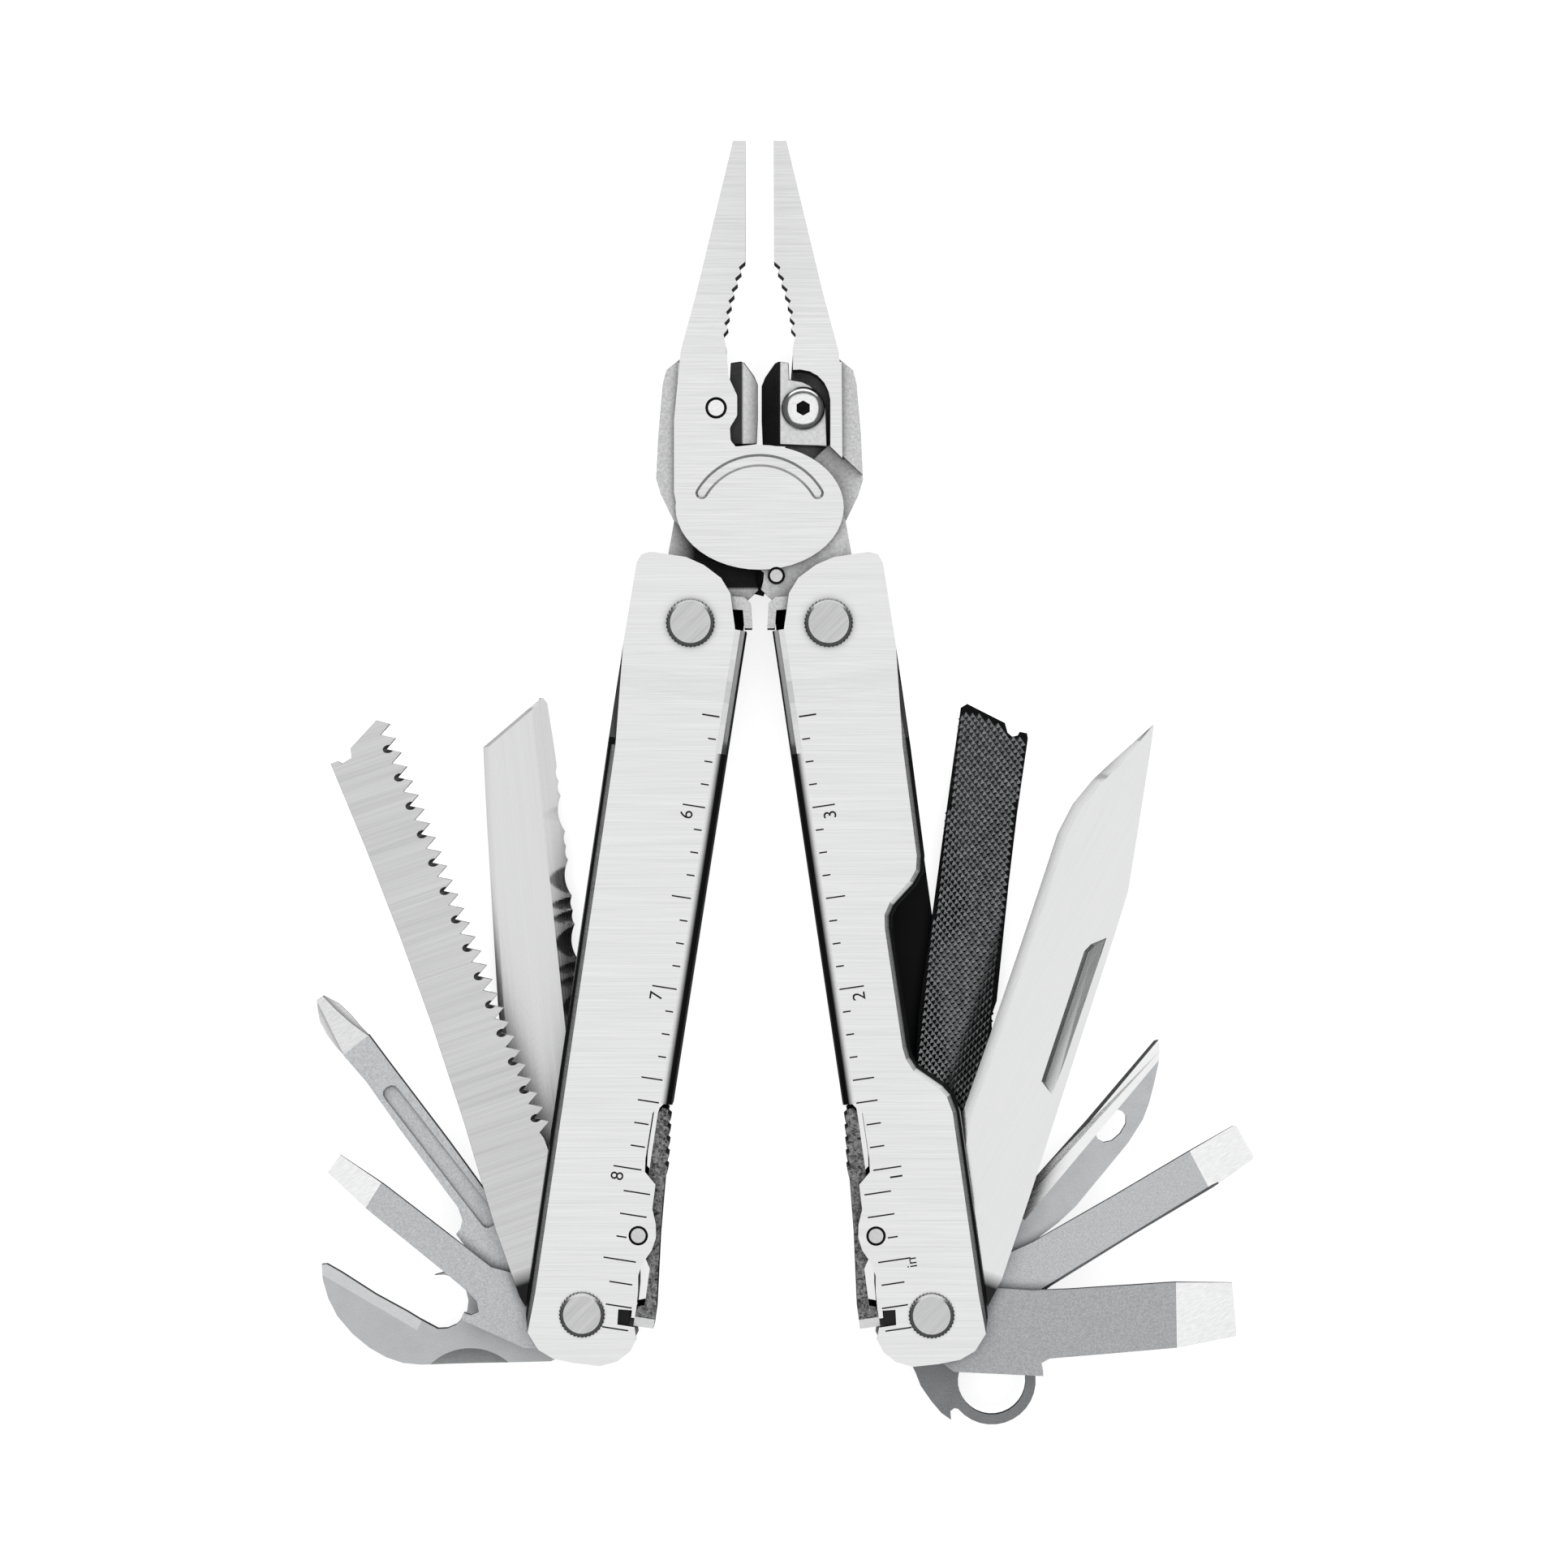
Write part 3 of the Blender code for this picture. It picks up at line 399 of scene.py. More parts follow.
LOOKS = {
    "handle_right": handle_steel("brushed_handle_right", "right"),
    "handle_left": handle_steel("brushed_handle_left", "left"),
    "jaw_left": jaw_steel("jaw_steel_left", "left"),
    "jaw_right": jaw_steel("jaw_steel_right", "right"),
    "bolt": brushed("bolt_face", 0.36, 0.52, 0.28, 45.0, length=0.15, width=5.0),
    "screw": grained("polished_screw", 0.56, 0.68, 0.16, 2.0, depth=0.002),
    "pin": grained("pin_steel", 0.42, 0.56, 0.30, 3.0, depth=0.004),
    "blade": brushed("satin_blade", 0.58, 0.60, 0.25, 62.0, 0.03, 6.0, 0.0001,
                     ("knife", "right")),
    "serrated": brushed("ground_blade", 0.52, 0.59, 0.28, 96.0, 0.03, 6.0, 0.0004),
    "saw": brushed("saw_steel", 0.40, 0.56, 0.30, 19.0, 0.04, 6.5, 0.002, ("saw", "left")),
    "cutter_left": cutter_steel("cutter_steel_left", True),
    "cutter_right": cutter_steel("cutter_steel_right", False),
    "blasted": grained("blasted_steel", 0.48, 0.72, 0.50, 4.5, 0.02, dark=0.35),
    "ground": brushed("ground_face", 0.66, 0.74, 0.26, 30.0, 0.1, 5.0, 0.0002),
    "soft_ground": grained("soft_ground_face", 0.44, 0.56, 0.32, 3.0, 0.01, 0.002),
    "file": grained("file_black", 0.004, 0.012, 0.45, 3.0, 0.02, 0.006),
    "lever_left": lever_steel("cast_lever_left", "left"),
    "lever_right": lever_steel("cast_lever_right", "right"),
    "ring": grained("dark_ring_steel", 0.14, 0.26, 0.40, 4.0, 0.02),
    "mark": grained("etched_mark", 0.02, 0.05, 0.7, 6.0, depth=0.002),
    # painted shade: near black for sockets, pin gaps, lock springs and sheets that stand in for
    # shadow
    "shade": grained("painted_recess_shade", 0.004, 0.02, 0.45, 0.5, depth=0.002),
    "file_teeth": grained("file_teeth", 0.05, 0.20, 0.14, 1.2, 0.02, 0.001),
    "large_driver": ground_tip("large_driver_steel", "large_driver", "right", 33.8, 0.38, 0.58),
    "medium_driver": ground_tip("medium_driver_steel", "medium_driver", "right", 42.0,
                                0.50, 0.70),
    "small_driver": ground_tip("small_driver_steel", "small_driver", "left", 33.0, 0.48, 0.70),
    "phillips": ground_tip("phillips_steel", "phillips_driver", "left", 48.3, 0.50, 0.74, 0.64),
}

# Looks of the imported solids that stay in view; any other is plain pin steel.
NODE_LOOKS = {
    "handle_left": "handle_left", "handle_right": "handle_right", "file": "file",
    "lanyard_ring": "ring", "lock_lever_left": "lever_left", "lock_lever_right": "lever_right",
    # the lock springs get painted shade, as they sit in the handle's shadow
    "lock_spring_left": "shade", "lock_spring_right": "shade",
    "small_driver": "small_driver", "phillips_driver": "phillips",
    "large_driver": "large_driver",
}


def dress(obj, look, bevel=0.12):
    """Material and a small bevel that catches the light along the edges."""
    obj.data.materials.clear()
    obj.data.materials.append(LOOKS[look])
    if bevel:
        modifier = obj.modifiers.new("edge", "BEVEL")
        modifier.width = bevel * MM
        modifier.segments = 2
        modifier.limit_method = "ANGLE"
        modifier.angle_limit = math.radians(40)
        modifier.harden_normals = True


# ---------------------------------------------------------------- shapes

def add_object(name, data):
    made = bpy.data.objects.new(name, data)
    bpy.context.scene.collection.objects.link(made)
    return made


def evaluated_mesh(obj):
    bpy.context.view_layer.update()
    evaluated = obj.evaluated_get(bpy.context.evaluated_depsgraph_get())
    return bpy.data.meshes.new_from_object(evaluated)


def drop(obj):
    bpy.data.objects.remove(obj, do_unlink=True)


def cage_of(mesh):
    """A mesh as a bmesh."""
    cage = bmesh.new()
    cage.from_mesh(mesh)
    return cage


def store(cage, mesh):
    """A finished bmesh into a mesh."""
    cage.to_mesh(mesh)
    cage.free()


def prism(outline, low, high):
    """Closed outline in XY between two heights, as a bmesh."""
    cage = bmesh.new()
    face = cage.faces.new([cage.verts.new((x, y, low)) for x, y in outline])
    raised = bmesh.ops.extrude_face_region(cage, geom=[face])["geom"]
    bmesh.ops.translate(cage, vec=(0, 0, high - low),
                        verts=[g for g in raised if isinstance(g, bmesh.types.BMVert)])
    bmesh.ops.recalc_face_normals(cage, faces=cage.faces)
    return cage


def loft(loops):
    """Closed solid through outlines of equal count, each a list of points in space."""
    cage = bmesh.new()
    rings = [[cage.verts.new(point) for point in loop] for loop in loops]
    count = len(rings[0])
    for lower, upper in zip(rings, rings[1:]):
        for k in range(count):
            n = (k + 1) % count
            cage.faces.new((lower[k], lower[n], upper[n], upper[k]))
    cage.faces.new(rings[-1])
    cage.faces.new(rings[0][::-1])
    return cage


def lathe(profile, segments, tooth=0.0):
    """Solid of revolution about Z; tooth pulls in every second meridian of the widest rings."""
    widest = max(r for r, _ in profile)
    loops = []
    for radius, z in profile:
        loop = []
        for k in range(segments):
            pulled = tooth if k % 2 and radius > widest - tooth / 2 else 0.0
            angle = 2 * math.pi * k / segments
            r = radius - pulled
            loop.append((r * math.cos(angle), r * math.sin(angle), z))
        loops.append(loop)
    return loft(loops)


def rod(start, end, radius, segments=24):
    """Cylinder between two points, as a bmesh."""
    start, end = Vector(start), Vector(end)
    cage = bmesh.new()
    turn = (end - start).to_track_quat("Z", "Y").to_matrix().to_4x4()
    bmesh.ops.create_cone(cage, cap_ends=True, segments=segments, radius1=radius, radius2=radius,
                          depth=(end - start).length,
                          matrix=Matrix.Translation((start + end) / 2) @ turn)
    return cage


def merge(*cages):
    """Several bmeshes as one."""
    whole = bmesh.new()
    for cage in cages:
        part = bpy.data.meshes.new("part")
        store(cage, part)
        whole.from_mesh(part)
        bpy.data.meshes.remove(part)
    return whole


def cage_mesh(name, cage, matrix):
    """A bmesh in millimetres as a mesh in the frame."""
    mesh = bpy.data.meshes.new(name)
    bmesh.ops.transform(cage, matrix=matrix, verts=cage.verts)
    bmesh.ops.recalc_face_normals(cage, faces=cage.faces)
    store(cage, mesh)
    return mesh


def plain_normals(mesh):
    """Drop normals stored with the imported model, so that new faces shade on their own."""
    stored = mesh.attributes.get("custom_normal")
    if stored:
        mesh.attributes.remove(stored)


def carve(target, cutter, operation="DIFFERENCE"):
    """Take one object's shape out of another's, or keep what they share."""
    modifier = target.modifiers.new("carve", "BOOLEAN")
    modifier.operation = operation
    modifier.object = cutter
    modifier.solver = "EXACT"
    mesh = evaluated_mesh(target)
    target.modifiers.clear()
    target.data = mesh
    drop(cutter)


def from_node(name, node):
    """New object with a copy of a CAD node's mesh."""
    made = add_object(name, frame["nodes"][node].data.copy())
    mesh = made.data
    plain_normals(mesh)
    cage = cage_of(mesh)
    bmesh.ops.remove_doubles(cage, verts=cage.verts, dist=1e-7)
    bmesh.ops.dissolve_limit(cage, angle_limit=math.radians(0.5), verts=cage.verts,
                             edges=cage.edges)
    store(cage, mesh)
    return made


def below(node, matrix, y):
    """The part of a CAD node under a height in tool coordinates, as a bmesh in the frame."""
    cage = cage_of(frame["nodes"][node].data)
    bmesh.ops.remove_doubles(cage, verts=cage.verts, dist=1e-7)
    origin = matrix @ Vector((0, y, 0))
    up = (matrix @ Vector((0, y + 1, 0)) - origin).normalized()
    bmesh.ops.bisect_plane(cage, geom=cage.verts[:] + cage.edges[:] + cage.faces[:],
                           plane_co=origin, plane_no=up, clear_outer=True, dist=1e-7)
    return cage


def bevel_cut(target, matrix, start, end, width, depth, top):
    """Slope the front of a flat tool along an edge that has the tool on its left."""
    begin, finish = Vector((*start, 0)), Vector((*end, 0))
    ahead = (finish - begin).normalized()
    inward = Vector((-ahead.y, ahead.x, 0))
    over = 0.6                   # the cutter reaches this far past the edge
    section = [(width, top), (-over, top - depth * (1 + over / width)), (-over, top + 1),
               (width, top + 1)]
    cage = loft([[place + inward * u + Vector((0, 0, z)) for u, z in section]
                 for place in (begin, finish)])
    carve(target, add_object("slope", cage_mesh("slope", cage, matrix)))


def ground_faces(obj, look="ground"):
    """Give gently sloped facets of a flat tool their bright ground finish."""
    obj.data.materials.append(LOOKS[look])
    for face in obj.data.polygons:
        if 0.85 < abs(face.normal.z) < 0.9996:
            face.material_index = 1


def triangulate(obj):
    """Split many-sided faces, so that every facet stays flat."""
    cage = cage_of(obj.data)
    bmesh.ops.dissolve_limit(cage, angle_limit=math.radians(0.3), verts=cage.verts,
                             edges=cage.edges)
    bmesh.ops.triangulate(cage, faces=[f for f in cage.faces if len(f.verts) > 4])
    store(cage, obj.data)


def finish_piece(obj, look, body, nodes=(), bevel=0.12, smooth=35):
    """Shading, material, edge bevel and body of a new piece; hides the CAD parts it replaces."""
    plain_normals(obj.data)
    obj.data.shade_smooth()
    obj.data.set_sharp_from_angle(angle=math.radians(smooth))
    dress(obj, look, bevel)
    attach(obj, body)
    if nodes:
        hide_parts(*nodes)
    return obj


# ---------------------------------------------------------------- ruler

RULE_PITCH = 3.156               # an eighth of an inch, as it lies on the handle
RULE_TOP = 84.0
RULE_TICKS = 28
OUTER_Z = 8.9
MARK_HEIGHT = 0.015
MARK_WIDTH = 0.2
TICK_STARTS = ((30, -5.95), (19.5, -5.0), (13.5, -6.7), (10, -4.4), (4, -6.2),
               (-math.inf, -6.6))  # where ticks above a height start: clear of the lever's cutout
SHORT_ABOVE = 32                 # plain ticks are shorter above this height
INCH_EXTRA = 1.9
HALF_INCH_EXTRA = 1.3


def tick_span(index, y):
    """Start and end of a tick; inches are longest, then half inches."""
    start = next(x for height, x in TICK_STARTS if y > height)
    base = -4.85 if y > SHORT_ABOVE else -3.0
    length = INCH_EXTRA if index % 8 == 4 else HALF_INCH_EXTRA if index % 8 == 0 else 0.0
    slope = 0.9 * (RULE_TOP - y) / RULE_TOP if index % 4 == 0 and y > SHORT_ABOVE else 0.0
    return start, base + length + slope


def mark_text(text, x, y, size):
    """Numeral in handle coordinates that reads from the open side."""
    curve = bpy.data.curves.new("mark", "FONT")
    curve.body = text
    curve.size = size
    curve.align_x = "CENTER"
    curve.align_y = "CENTER"
    curve.extrude = MARK_HEIGHT
    holder = add_object("mark", curve)
    cage = cage_of(evaluated_mesh(holder))
    drop(holder)
    turn = Matrix.Translation((x, y, OUTER_Z)) @ Matrix.Rotation(math.radians(90), 4, "Z")
    bmesh.ops.transform(cage, matrix=turn, verts=cage.verts)
    return cage


def ruler(side):
    """Scale in eighths of an inch along the spine side of a handle."""
    cages = []
    numbers = {"right": "321", "left": "678"}[side]
    mirrored = Matrix.Scale(-1, 4, (1, 0, 0)) if side == "left" else Matrix.Identity(4)
    for index in range(RULE_TICKS):
        y = RULE_TOP - RULE_PITCH * index
        start, end = tick_span(index, y)
        half = MARK_WIDTH / 2
        cages.append(prism([(start, y - half), (end, y - half), (end, y + half),
                            (start, y + half)], OUTER_Z - 0.01, OUTER_Z + MARK_HEIGHT))
        if index % 8 == 4:
            text = mark_text(numbers[index // 8], 0, 0, 2.5)
            place = Matrix.Translation((end - 0.8, y - 1.3, 0)) @ mirrored
            bmesh.ops.transform(text, matrix=place, verts=text.verts)
            cages.append(text)
    if side == "right":
        cages.append(mark_text("in", -1.6, 7.6, 2.1))
    made = add_object("ruler_" + side, cage_mesh("ruler", merge(*cages), handle_matrix(side)))
    finish_piece(made, "mark", "handle_" + side, bevel=0)


# ---------------------------------------------------------------- fasteners

HEAD_Z = 9.6
KNURLS = 72
KNURL_DEPTH = 0.26


def knurled_heads(side):
    """Both bolts of a handle with knurled rims, a chamfer and a brushed face."""
    foot = joint_anchor(FIRST_TOOL[side])
    top = joint_anchor("handle_" + side + "_fold")
    for name, place, shaft, head, wall in (("handle_bolt", top, 2.6, 3.4, 7.9),
                                           ("tool_axle", foot, 2.4, 3.2, 8.9)):
        matrix = Matrix.Translation((place.x, place.y, MIDDLE_Z * MM)) @ Matrix.Scale(MM, 4)
        low = wall + 0.1
        rim = [(head - 0.15, low), (head, low + 0.1), (head, HEAD_Z - 0.4),
               (head - 0.27, HEAD_Z - 0.22), (head - 0.55, HEAD_Z - 0.05),
               (head - 0.62, HEAD_Z)]
        shank = rod((0, 0, -wall - 0.35), (0, 0, low + 0.2), shaft, 40)
        turned = matrix @ Matrix.Rotation(math.pi, 4, "X")
        for end, cage, turn, node in (
                ("_head_", merge(lathe(rim, KNURLS, KNURL_DEPTH), shank), matrix, "_"),
                ("_nut_", lathe(rim, KNURLS, KNURL_DEPTH), turned, "_cap_")):
            made = add_object(name + end + side, cage_mesh(name, cage, turn))
            finish_piece(made, "bolt", "handle_" + side, [name + node + side], 0, 8)


# ---------------------------------------------------------------- blades

def edges_at(outline, y):
    """Left and right edge of an outline at a height."""
    found = []
    for (x0, y0), (x1, y1) in zip(outline, outline[1:] + outline[:1]):
        if (y0 <= y) != (y1 <= y):
            found.append(x0 + (x1 - x0) * (y - y0) / (y1 - y0))
    return min(found), max(found)


def surface_grid(rows, low, high):
    """Solid between two height functions; rows hold (y, xs) with equal counts."""
    cage = bmesh.new()
    top = [[cage.verts.new((x, y, high(x, y))) for x in xs] for y, xs in rows]
    under = [[cage.verts.new((x, y, low(x, y))) for x in xs] for y, xs in rows]
    count = len(rows[0][1])
    for r in range(len(rows) - 1):
        for c in range(count - 1):
            cage.faces.new((top[r][c], top[r][c + 1], top[r + 1][c + 1], top[r + 1][c]))
            cage.faces.new((under[r][c], under[r + 1][c], under[r + 1][c + 1], under[r][c + 1]))
        for c in (0, count - 1):
            cage.faces.new((top[r][c], under[r][c], under[r + 1][c], top[r + 1][c]))
    for r in (0, len(rows) - 1):
        for c in range(count - 1):
            cage.faces.new((top[r][c], top[r][c + 1], under[r][c + 1], under[r][c]))
    return cage


def heights(outline, start, step):
    """Row heights from start to the tip that also meet the outline's corners."""
    tip = max(y for _, y in outline) - 0.02
    count = int((tip - start) / step)
    regular = [start + (tip - start) * k / count for k in range(count + 1)]
    corners = [y for _, y in outline if start < y < tip]
    return sorted(set(regular + corners))


def ramp_up(value, start, end):
    t = min(1.0, max(0.0, (value - start) / (end - start)))
    return t * t * (3 - 2 * t)


KNIFE_OUTLINE = [(-3.4, 13.0), (-3.4, 14.0), (-4.6, 19.0), (-5.9, 27.0), (-6.2, 38.0),
                 (-6.7, 51.0), (-7.2, 62.0), (-7.5, 68.0), (-7.0, 72.5), (-5.6, 76.7),
                 (-4.0, 80.0), (-2.2, 83.5), (-0.5, 86.8), (0.2, 84.0), (2.0, 75.5),
                 (4.4, 64.0), (4.8, 58.0), (5.4, 46.0), (6.1, 33.0), (6.8, 20.0), (7.1, 13.0)]
KNIFE_HUB = 14.0
KNIFE_Z = (5.25, 7.35)
KNIFE_EDGE = 1.25                # width of the knife's edge bevel
KNIFE_GRIND = 0.68               # share of the width that the main grind takes
EDGE_HALF = 0.04                 # half thickness of the sharp edge
NAIL_SLOT = [(2.6, 35.4), (4.6, 34.2), (4.85, 36.0), (4.05, 54.5), (3.9, 57.0), (2.2, 55.4),
             (1.7, 54.2)]


def nail_slot(matrix, top):
    """Cutter for the nail groove: steep on its left, rising to the blade's back."""
    floor = [(x, y, top - 0.70 + 0.23 * (x - 1.7)) for x, y in NAIL_SLOT]
    low = [(x + (0.6 if x < 3 else -0.1), y, z) for x, y, z in floor]
    rim = [(x, y, top + 0.01) for x, y in NAIL_SLOT]
    lid = [(x, y, top + 1.0) for x, y in NAIL_SLOT]
    return add_object("slot", cage_mesh("slot", loft([low, rim, lid]), matrix))


def knife():
    """Ground clip-point blade: edge bevel, main grind, flat back and nail groove."""
    matrix = tool_matrix("knife", "right")
    middle = (KNIFE_Z[0] + KNIFE_Z[1]) / 2
    full = (KNIFE_Z[1] - KNIFE_Z[0]) / 2
    rows = []
    for y in heights(KNIFE_OUTLINE, KNIFE_HUB, 1.0):
        left, right = edges_at(KNIFE_OUTLINE, y)
        width = right - left
        edge = min(0.25, KNIFE_EDGE / max(width, 0.1))
        stops = [0.0, edge, edge + 0.02, 0.45, 0.66, 0.70, 1.0]
        rows.append((y, [left + width * s for s in stops]))

    def half(x, y):
        left, right = edges_at(KNIFE_OUTLINE, y)
        width = right - left
        share = (x - left) / max(width, 0.05)
        edge = min(0.25, KNIFE_EDGE / max(width, 0.1))
        thick = min(full, 0.05 + 0.09 * width)
        rise = min(0.36, thick * 0.6)
        if share <= edge + 1e-6:
            ground = EDGE_HALF + rise * share / edge
        else:
            climbed = min(1.0, (share - edge) / (KNIFE_GRIND - edge))
            ground = EDGE_HALF + rise + (thick - EDGE_HALF - rise) * climbed
        return full + (ground - full) * ramp_up(y, KNIFE_HUB + 0.2, KNIFE_HUB + 1.6)

    blade = surface_grid(rows, lambda x, y: middle - half(x, y), lambda x, y: middle + half(x, y))
    made = add_object("knife_blade", cage_mesh("knife_blade", blade, matrix))
    carve(made, nail_slot(matrix, KNIFE_Z[1]))
    store(merge(cage_of(made.data), below("knife", matrix, KNIFE_HUB)), made.data)
    finish_piece(made, "blade", "knife", ["knife"], 0, 12)


SERRATED_HUB = 17.0
SERRATED_Z = (-7.35, -5.25)
SERRATED_OUTLINE = [(-3.4, 16.0), (-3.4, 17.0), (-4.0, 22.0), (-4.2, 26.0), (-4.2, 68.0),
                    (-3.9, 78.0), (-3.6, 84.2), (-3.0, 85.1), (5.9, 79.0), (6.5, 68.0),
                    (7.2, 52.0), (7.6, 43.0), (7.6, 20.0), (7.5, 16.0)]
SERRATED_TIP = 85.0
SCALLOP_PERIOD = 9.0
SCALLOP_SPAN = (26.2, 71.2)      # heights of the repeating serrations
SCALLOPS = [(2.5, 5.0), (6.1, 2.1), (8.0, 2.0)]
TIP_SCALLOPS = (1.05, 3.05)      # two small serrations beyond the last full period
TIP_SCALLOP_WIDTH = 2.0
SCALLOP_BITE = 0.14              # how far a serration cuts in, as a share of its width
SCALLOP_LIP = 0.47               # depth at once behind a serration's rim
SCALLOP_REACH = 2.8              # a serration runs out this far from the edge
SCALLOP_STEP = 0.2               # spacing of the blade's sections
SERRATED_EDGE = -4.2
SERRATED_BACK = 0.75             # width of the rounded strip along the back


def scallop_share(offset, width):
    """Depth of a serration at a distance from its middle, 0 to 1."""
    return max(0.0, 1 - (offset * 2 / width) ** 2)


def scallop(y):
    """How far a serration has cut in at a height, 0 to 1, and its width."""
    first, last = SCALLOP_SPAN
    if last < y < last + 4.1:
        centre = last + TIP_SCALLOPS[y > last + 2.05]
        return scallop_share(y - centre, TIP_SCALLOP_WIDTH), TIP_SCALLOP_WIDTH
    if not first < y < last:
        return 0.0, 1.0
    phase = (last - y) % SCALLOP_PERIOD
    return max((scallop_share(phase - c, w), w) for c, w in SCALLOPS)


def serrated_knife():
    """Sheepsfoot blade with a ground edge zone and scalloped serrations."""
    matrix = tool_matrix("serrated_knife", "left")
    low, high = SERRATED_Z
    inner = -1.4                 # the edge zone slopes on the left of this line
    slope = 0.17
    rows = []
    count = int((SERRATED_TIP - SERRATED_HUB) / SCALLOP_STEP)
    for k in range(count + 1):
        y = SERRATED_HUB + (SERRATED_TIP - SERRATED_HUB) * k / count
        left, right = edges_at(SERRATED_OUTLINE, y)
        share, width = scallop(y)
        left += SCALLOP_BITE * share * width
        line = max(left + 0.2, min(inner, right - 1.2))
        zone = [left + (line - left) * c / 9 for c in range(10)]
        back = max(line + 0.3, right - SERRATED_BACK)
        rows.append((y, zone + [line + 0.1, back - 0.1, back, right]))

    def top(x, y):
        on = ramp_up(y, SERRATED_HUB + 3, SERRATED_HUB + 9)
        bevel = high - max(0.0, inner - x) * slope * on
        share, width = scallop(y)
        depth = 0.30 + 0.07 * width
        fall = (SCALLOP_LIP + depth) / SCALLOP_REACH
        cut = SCALLOP_LIP * min(1.0, share * 3) + depth * share - fall * (x - SERRATED_EDGE)
        groove = high - cut * (0.5 + 0.5 * ramp_up(-y, -64, -54))
        back = high - max(0.0, x - edges_at(SERRATED_OUTLINE, y)[1] + SERRATED_BACK) * 0.14
        return min(bevel, back, groove if share > 0 else high)

    def under(x, y):
        on = ramp_up(y, SERRATED_HUB + 1, SERRATED_HUB + 8)
        return min(low + max(0.0, 0.6 - x) * 0.28 * on, top(x, y) - 0.06)

    blade = surface_grid(rows, under, top)
    bmesh.ops.transform(blade, matrix=matrix, verts=blade.verts)
    whole = merge(blade, below("serrated_knife", matrix, SERRATED_HUB))
    made = add_object("serrated_blade", cage_mesh("serrated_blade", whole, Matrix.Identity(4)))
    finish_piece(made, "serrated", "serrated_knife", ["serrated_knife"], 0, 8)


SAW_Z = (5.25, 7.35)
SAW_TEETH = 28
SAW_FIRST = 26.5                 # foot of the first tooth
SAW_PITCH = 2.1
SAW_TIPS = (-4.3, 0.0495)        # where the tooth tips start across the blade, and their slant
GULLET_DEPTH = 1.5


def saw():
    """Saw whose gullets are ground slantwise, from the front and the back in turn."""
    matrix = tool_matrix("saw", "left")
    made = from_node("saw_blade", "saw")
    cutters = []
    for k in range(SAW_TEETH):
        y = SAW_FIRST + SAW_PITCH * k + SAW_PITCH / 2
        root = SAW_TIPS[0] + (y - SAW_FIRST) * SAW_TIPS[1] + GULLET_DEPTH
        front = k % 2 == 0
        z = SAW_Z[1] if front else SAW_Z[0]
        rise = 1 if front else -1
        start = (root + 2.0, y + 0.1, z + rise * 2.0)
        end = (root - 4.0, y - 0.3, z - rise * 4.0)
        cutters.append(rod(start, end, 0.55, 12))
    carve(made, add_object("gullets", cage_mesh("gullets", merge(*cutters), matrix)))
    finish_piece(made, "saw", "saw", ["saw"], 0.05)


FILE_Z = (-7.35, -5.25)
FILE_OUTLINE = [(-3.4, 16.0), (-5.0, 24.0), (-5.8, 41.0), (-5.3, 56.0), (-4.8, 72.0),
                (-4.4, 83.6), (1.9, 81.6), (2.6, 79.9), (4.0, 80.0), (5.3, 80.0), (4.9, 70.0),
                (4.75, 60.0), (4.8, 43.5), (4.6, 41.5), (6.5, 24.0), (7.3, 16.0)]
FILE_PITCH = (0.92, 1.06)        # teeth across and along
FILE_SPAN = (20.0, 83.3)
FILE_RISE = 0.13
FILE_MARGINS = (0.3, 0.35)       # plain strips on the left and right


def file_cut(name, z, rise):
    """Field of small pyramids, the teeth of a cross-cut file."""
    matrix = tool_matrix("file", "right")
    cage = bmesh.new()
    across, along = FILE_PITCH
    start, end = FILE_SPAN
    for r in range(int((end - start) / (along / 2))):
        y = start + r * along / 2
        left, right = edges_at(FILE_OUTLINE, y)
        first = math.ceil(left / across - 0.5)
        last = math.floor(right / across)
        for c in range(first, last + 1):
            x = (c + (0.5 if r % 2 else 0.0)) * across
            if not left + FILE_MARGINS[0] < x < right - FILE_MARGINS[1]:
                continue
            peak = cage.verts.new((x - 0.2 * across, y - 0.25 * along, z + rise))
            ring = [cage.verts.new((x + dx * across / 2, y + dy * along / 2, z))
                    for dx, dy in ((1, 0), (0, 1), (-1, 0), (0, -1))]
            for k in range(4):
                cage.faces.new((ring[k], ring[(k + 1) % 4], peak))
    made = add_object(name, cage_mesh(name, cage, matrix))
    finish_piece(made, "file_teeth", "file", bevel=0, smooth=1)


GROOVE_CENTRE = -2.84
GROOVE_RADII = (8.45, 10.2)
GROOVE_REACH = 59                # half angle of the arc
GROOVE_FLOOR = 4.35
DISC_Z = 4.81                    # just over the disc's front face


def arc_band(inset):
    """Outline of the arc recess: a band with round ends, drawn in by inset."""
    inner, outer = GROOVE_RADII
    middle, end = (inner + outer) / 2, (outer - inner) / 2 - inset
    first, last = math.radians(90 - GROOVE_REACH), math.radians(90 + GROOVE_REACH)

    def at(radius, angle):
        return radius * math.cos(angle), GROOVE_CENTRE + radius * math.sin(angle)

    steps = [first + (last - first) * k / 36 for k in range(37)]
    caps = [math.pi * k / 8 for k in range(1, 8)]
    outline = [at(outer - inset, a) for a in steps]
    x, y = at(middle, last)
    outline += [(x + end * math.cos(last + a), y + end * math.sin(last + a)) for a in caps]
    outline += [at(inner + inset, a) for a in reversed(steps)]
    x, y = at(middle, first)
    turned = first + math.pi
    outline += [(x + end * math.cos(turned + a), y + end * math.sin(turned + a)) for a in caps]
    return outline


def arc_groove():
    """Cutter for the arc recess on the disc, with sloping walls."""
    levels = ((0.34, GROOVE_FLOOR), (0.0, DISC_Z), (0.0, 6.0))
    return loft([[(x, y, z) for x, y in arc_band(inset)] for inset, z in levels])


GRIP_X = (1.8, 5.3)              # distance of the pipe-grip teeth from the middle line
GRIP_Y = (22.6, 34.3)
GRIP_CHAMFER = 0.32


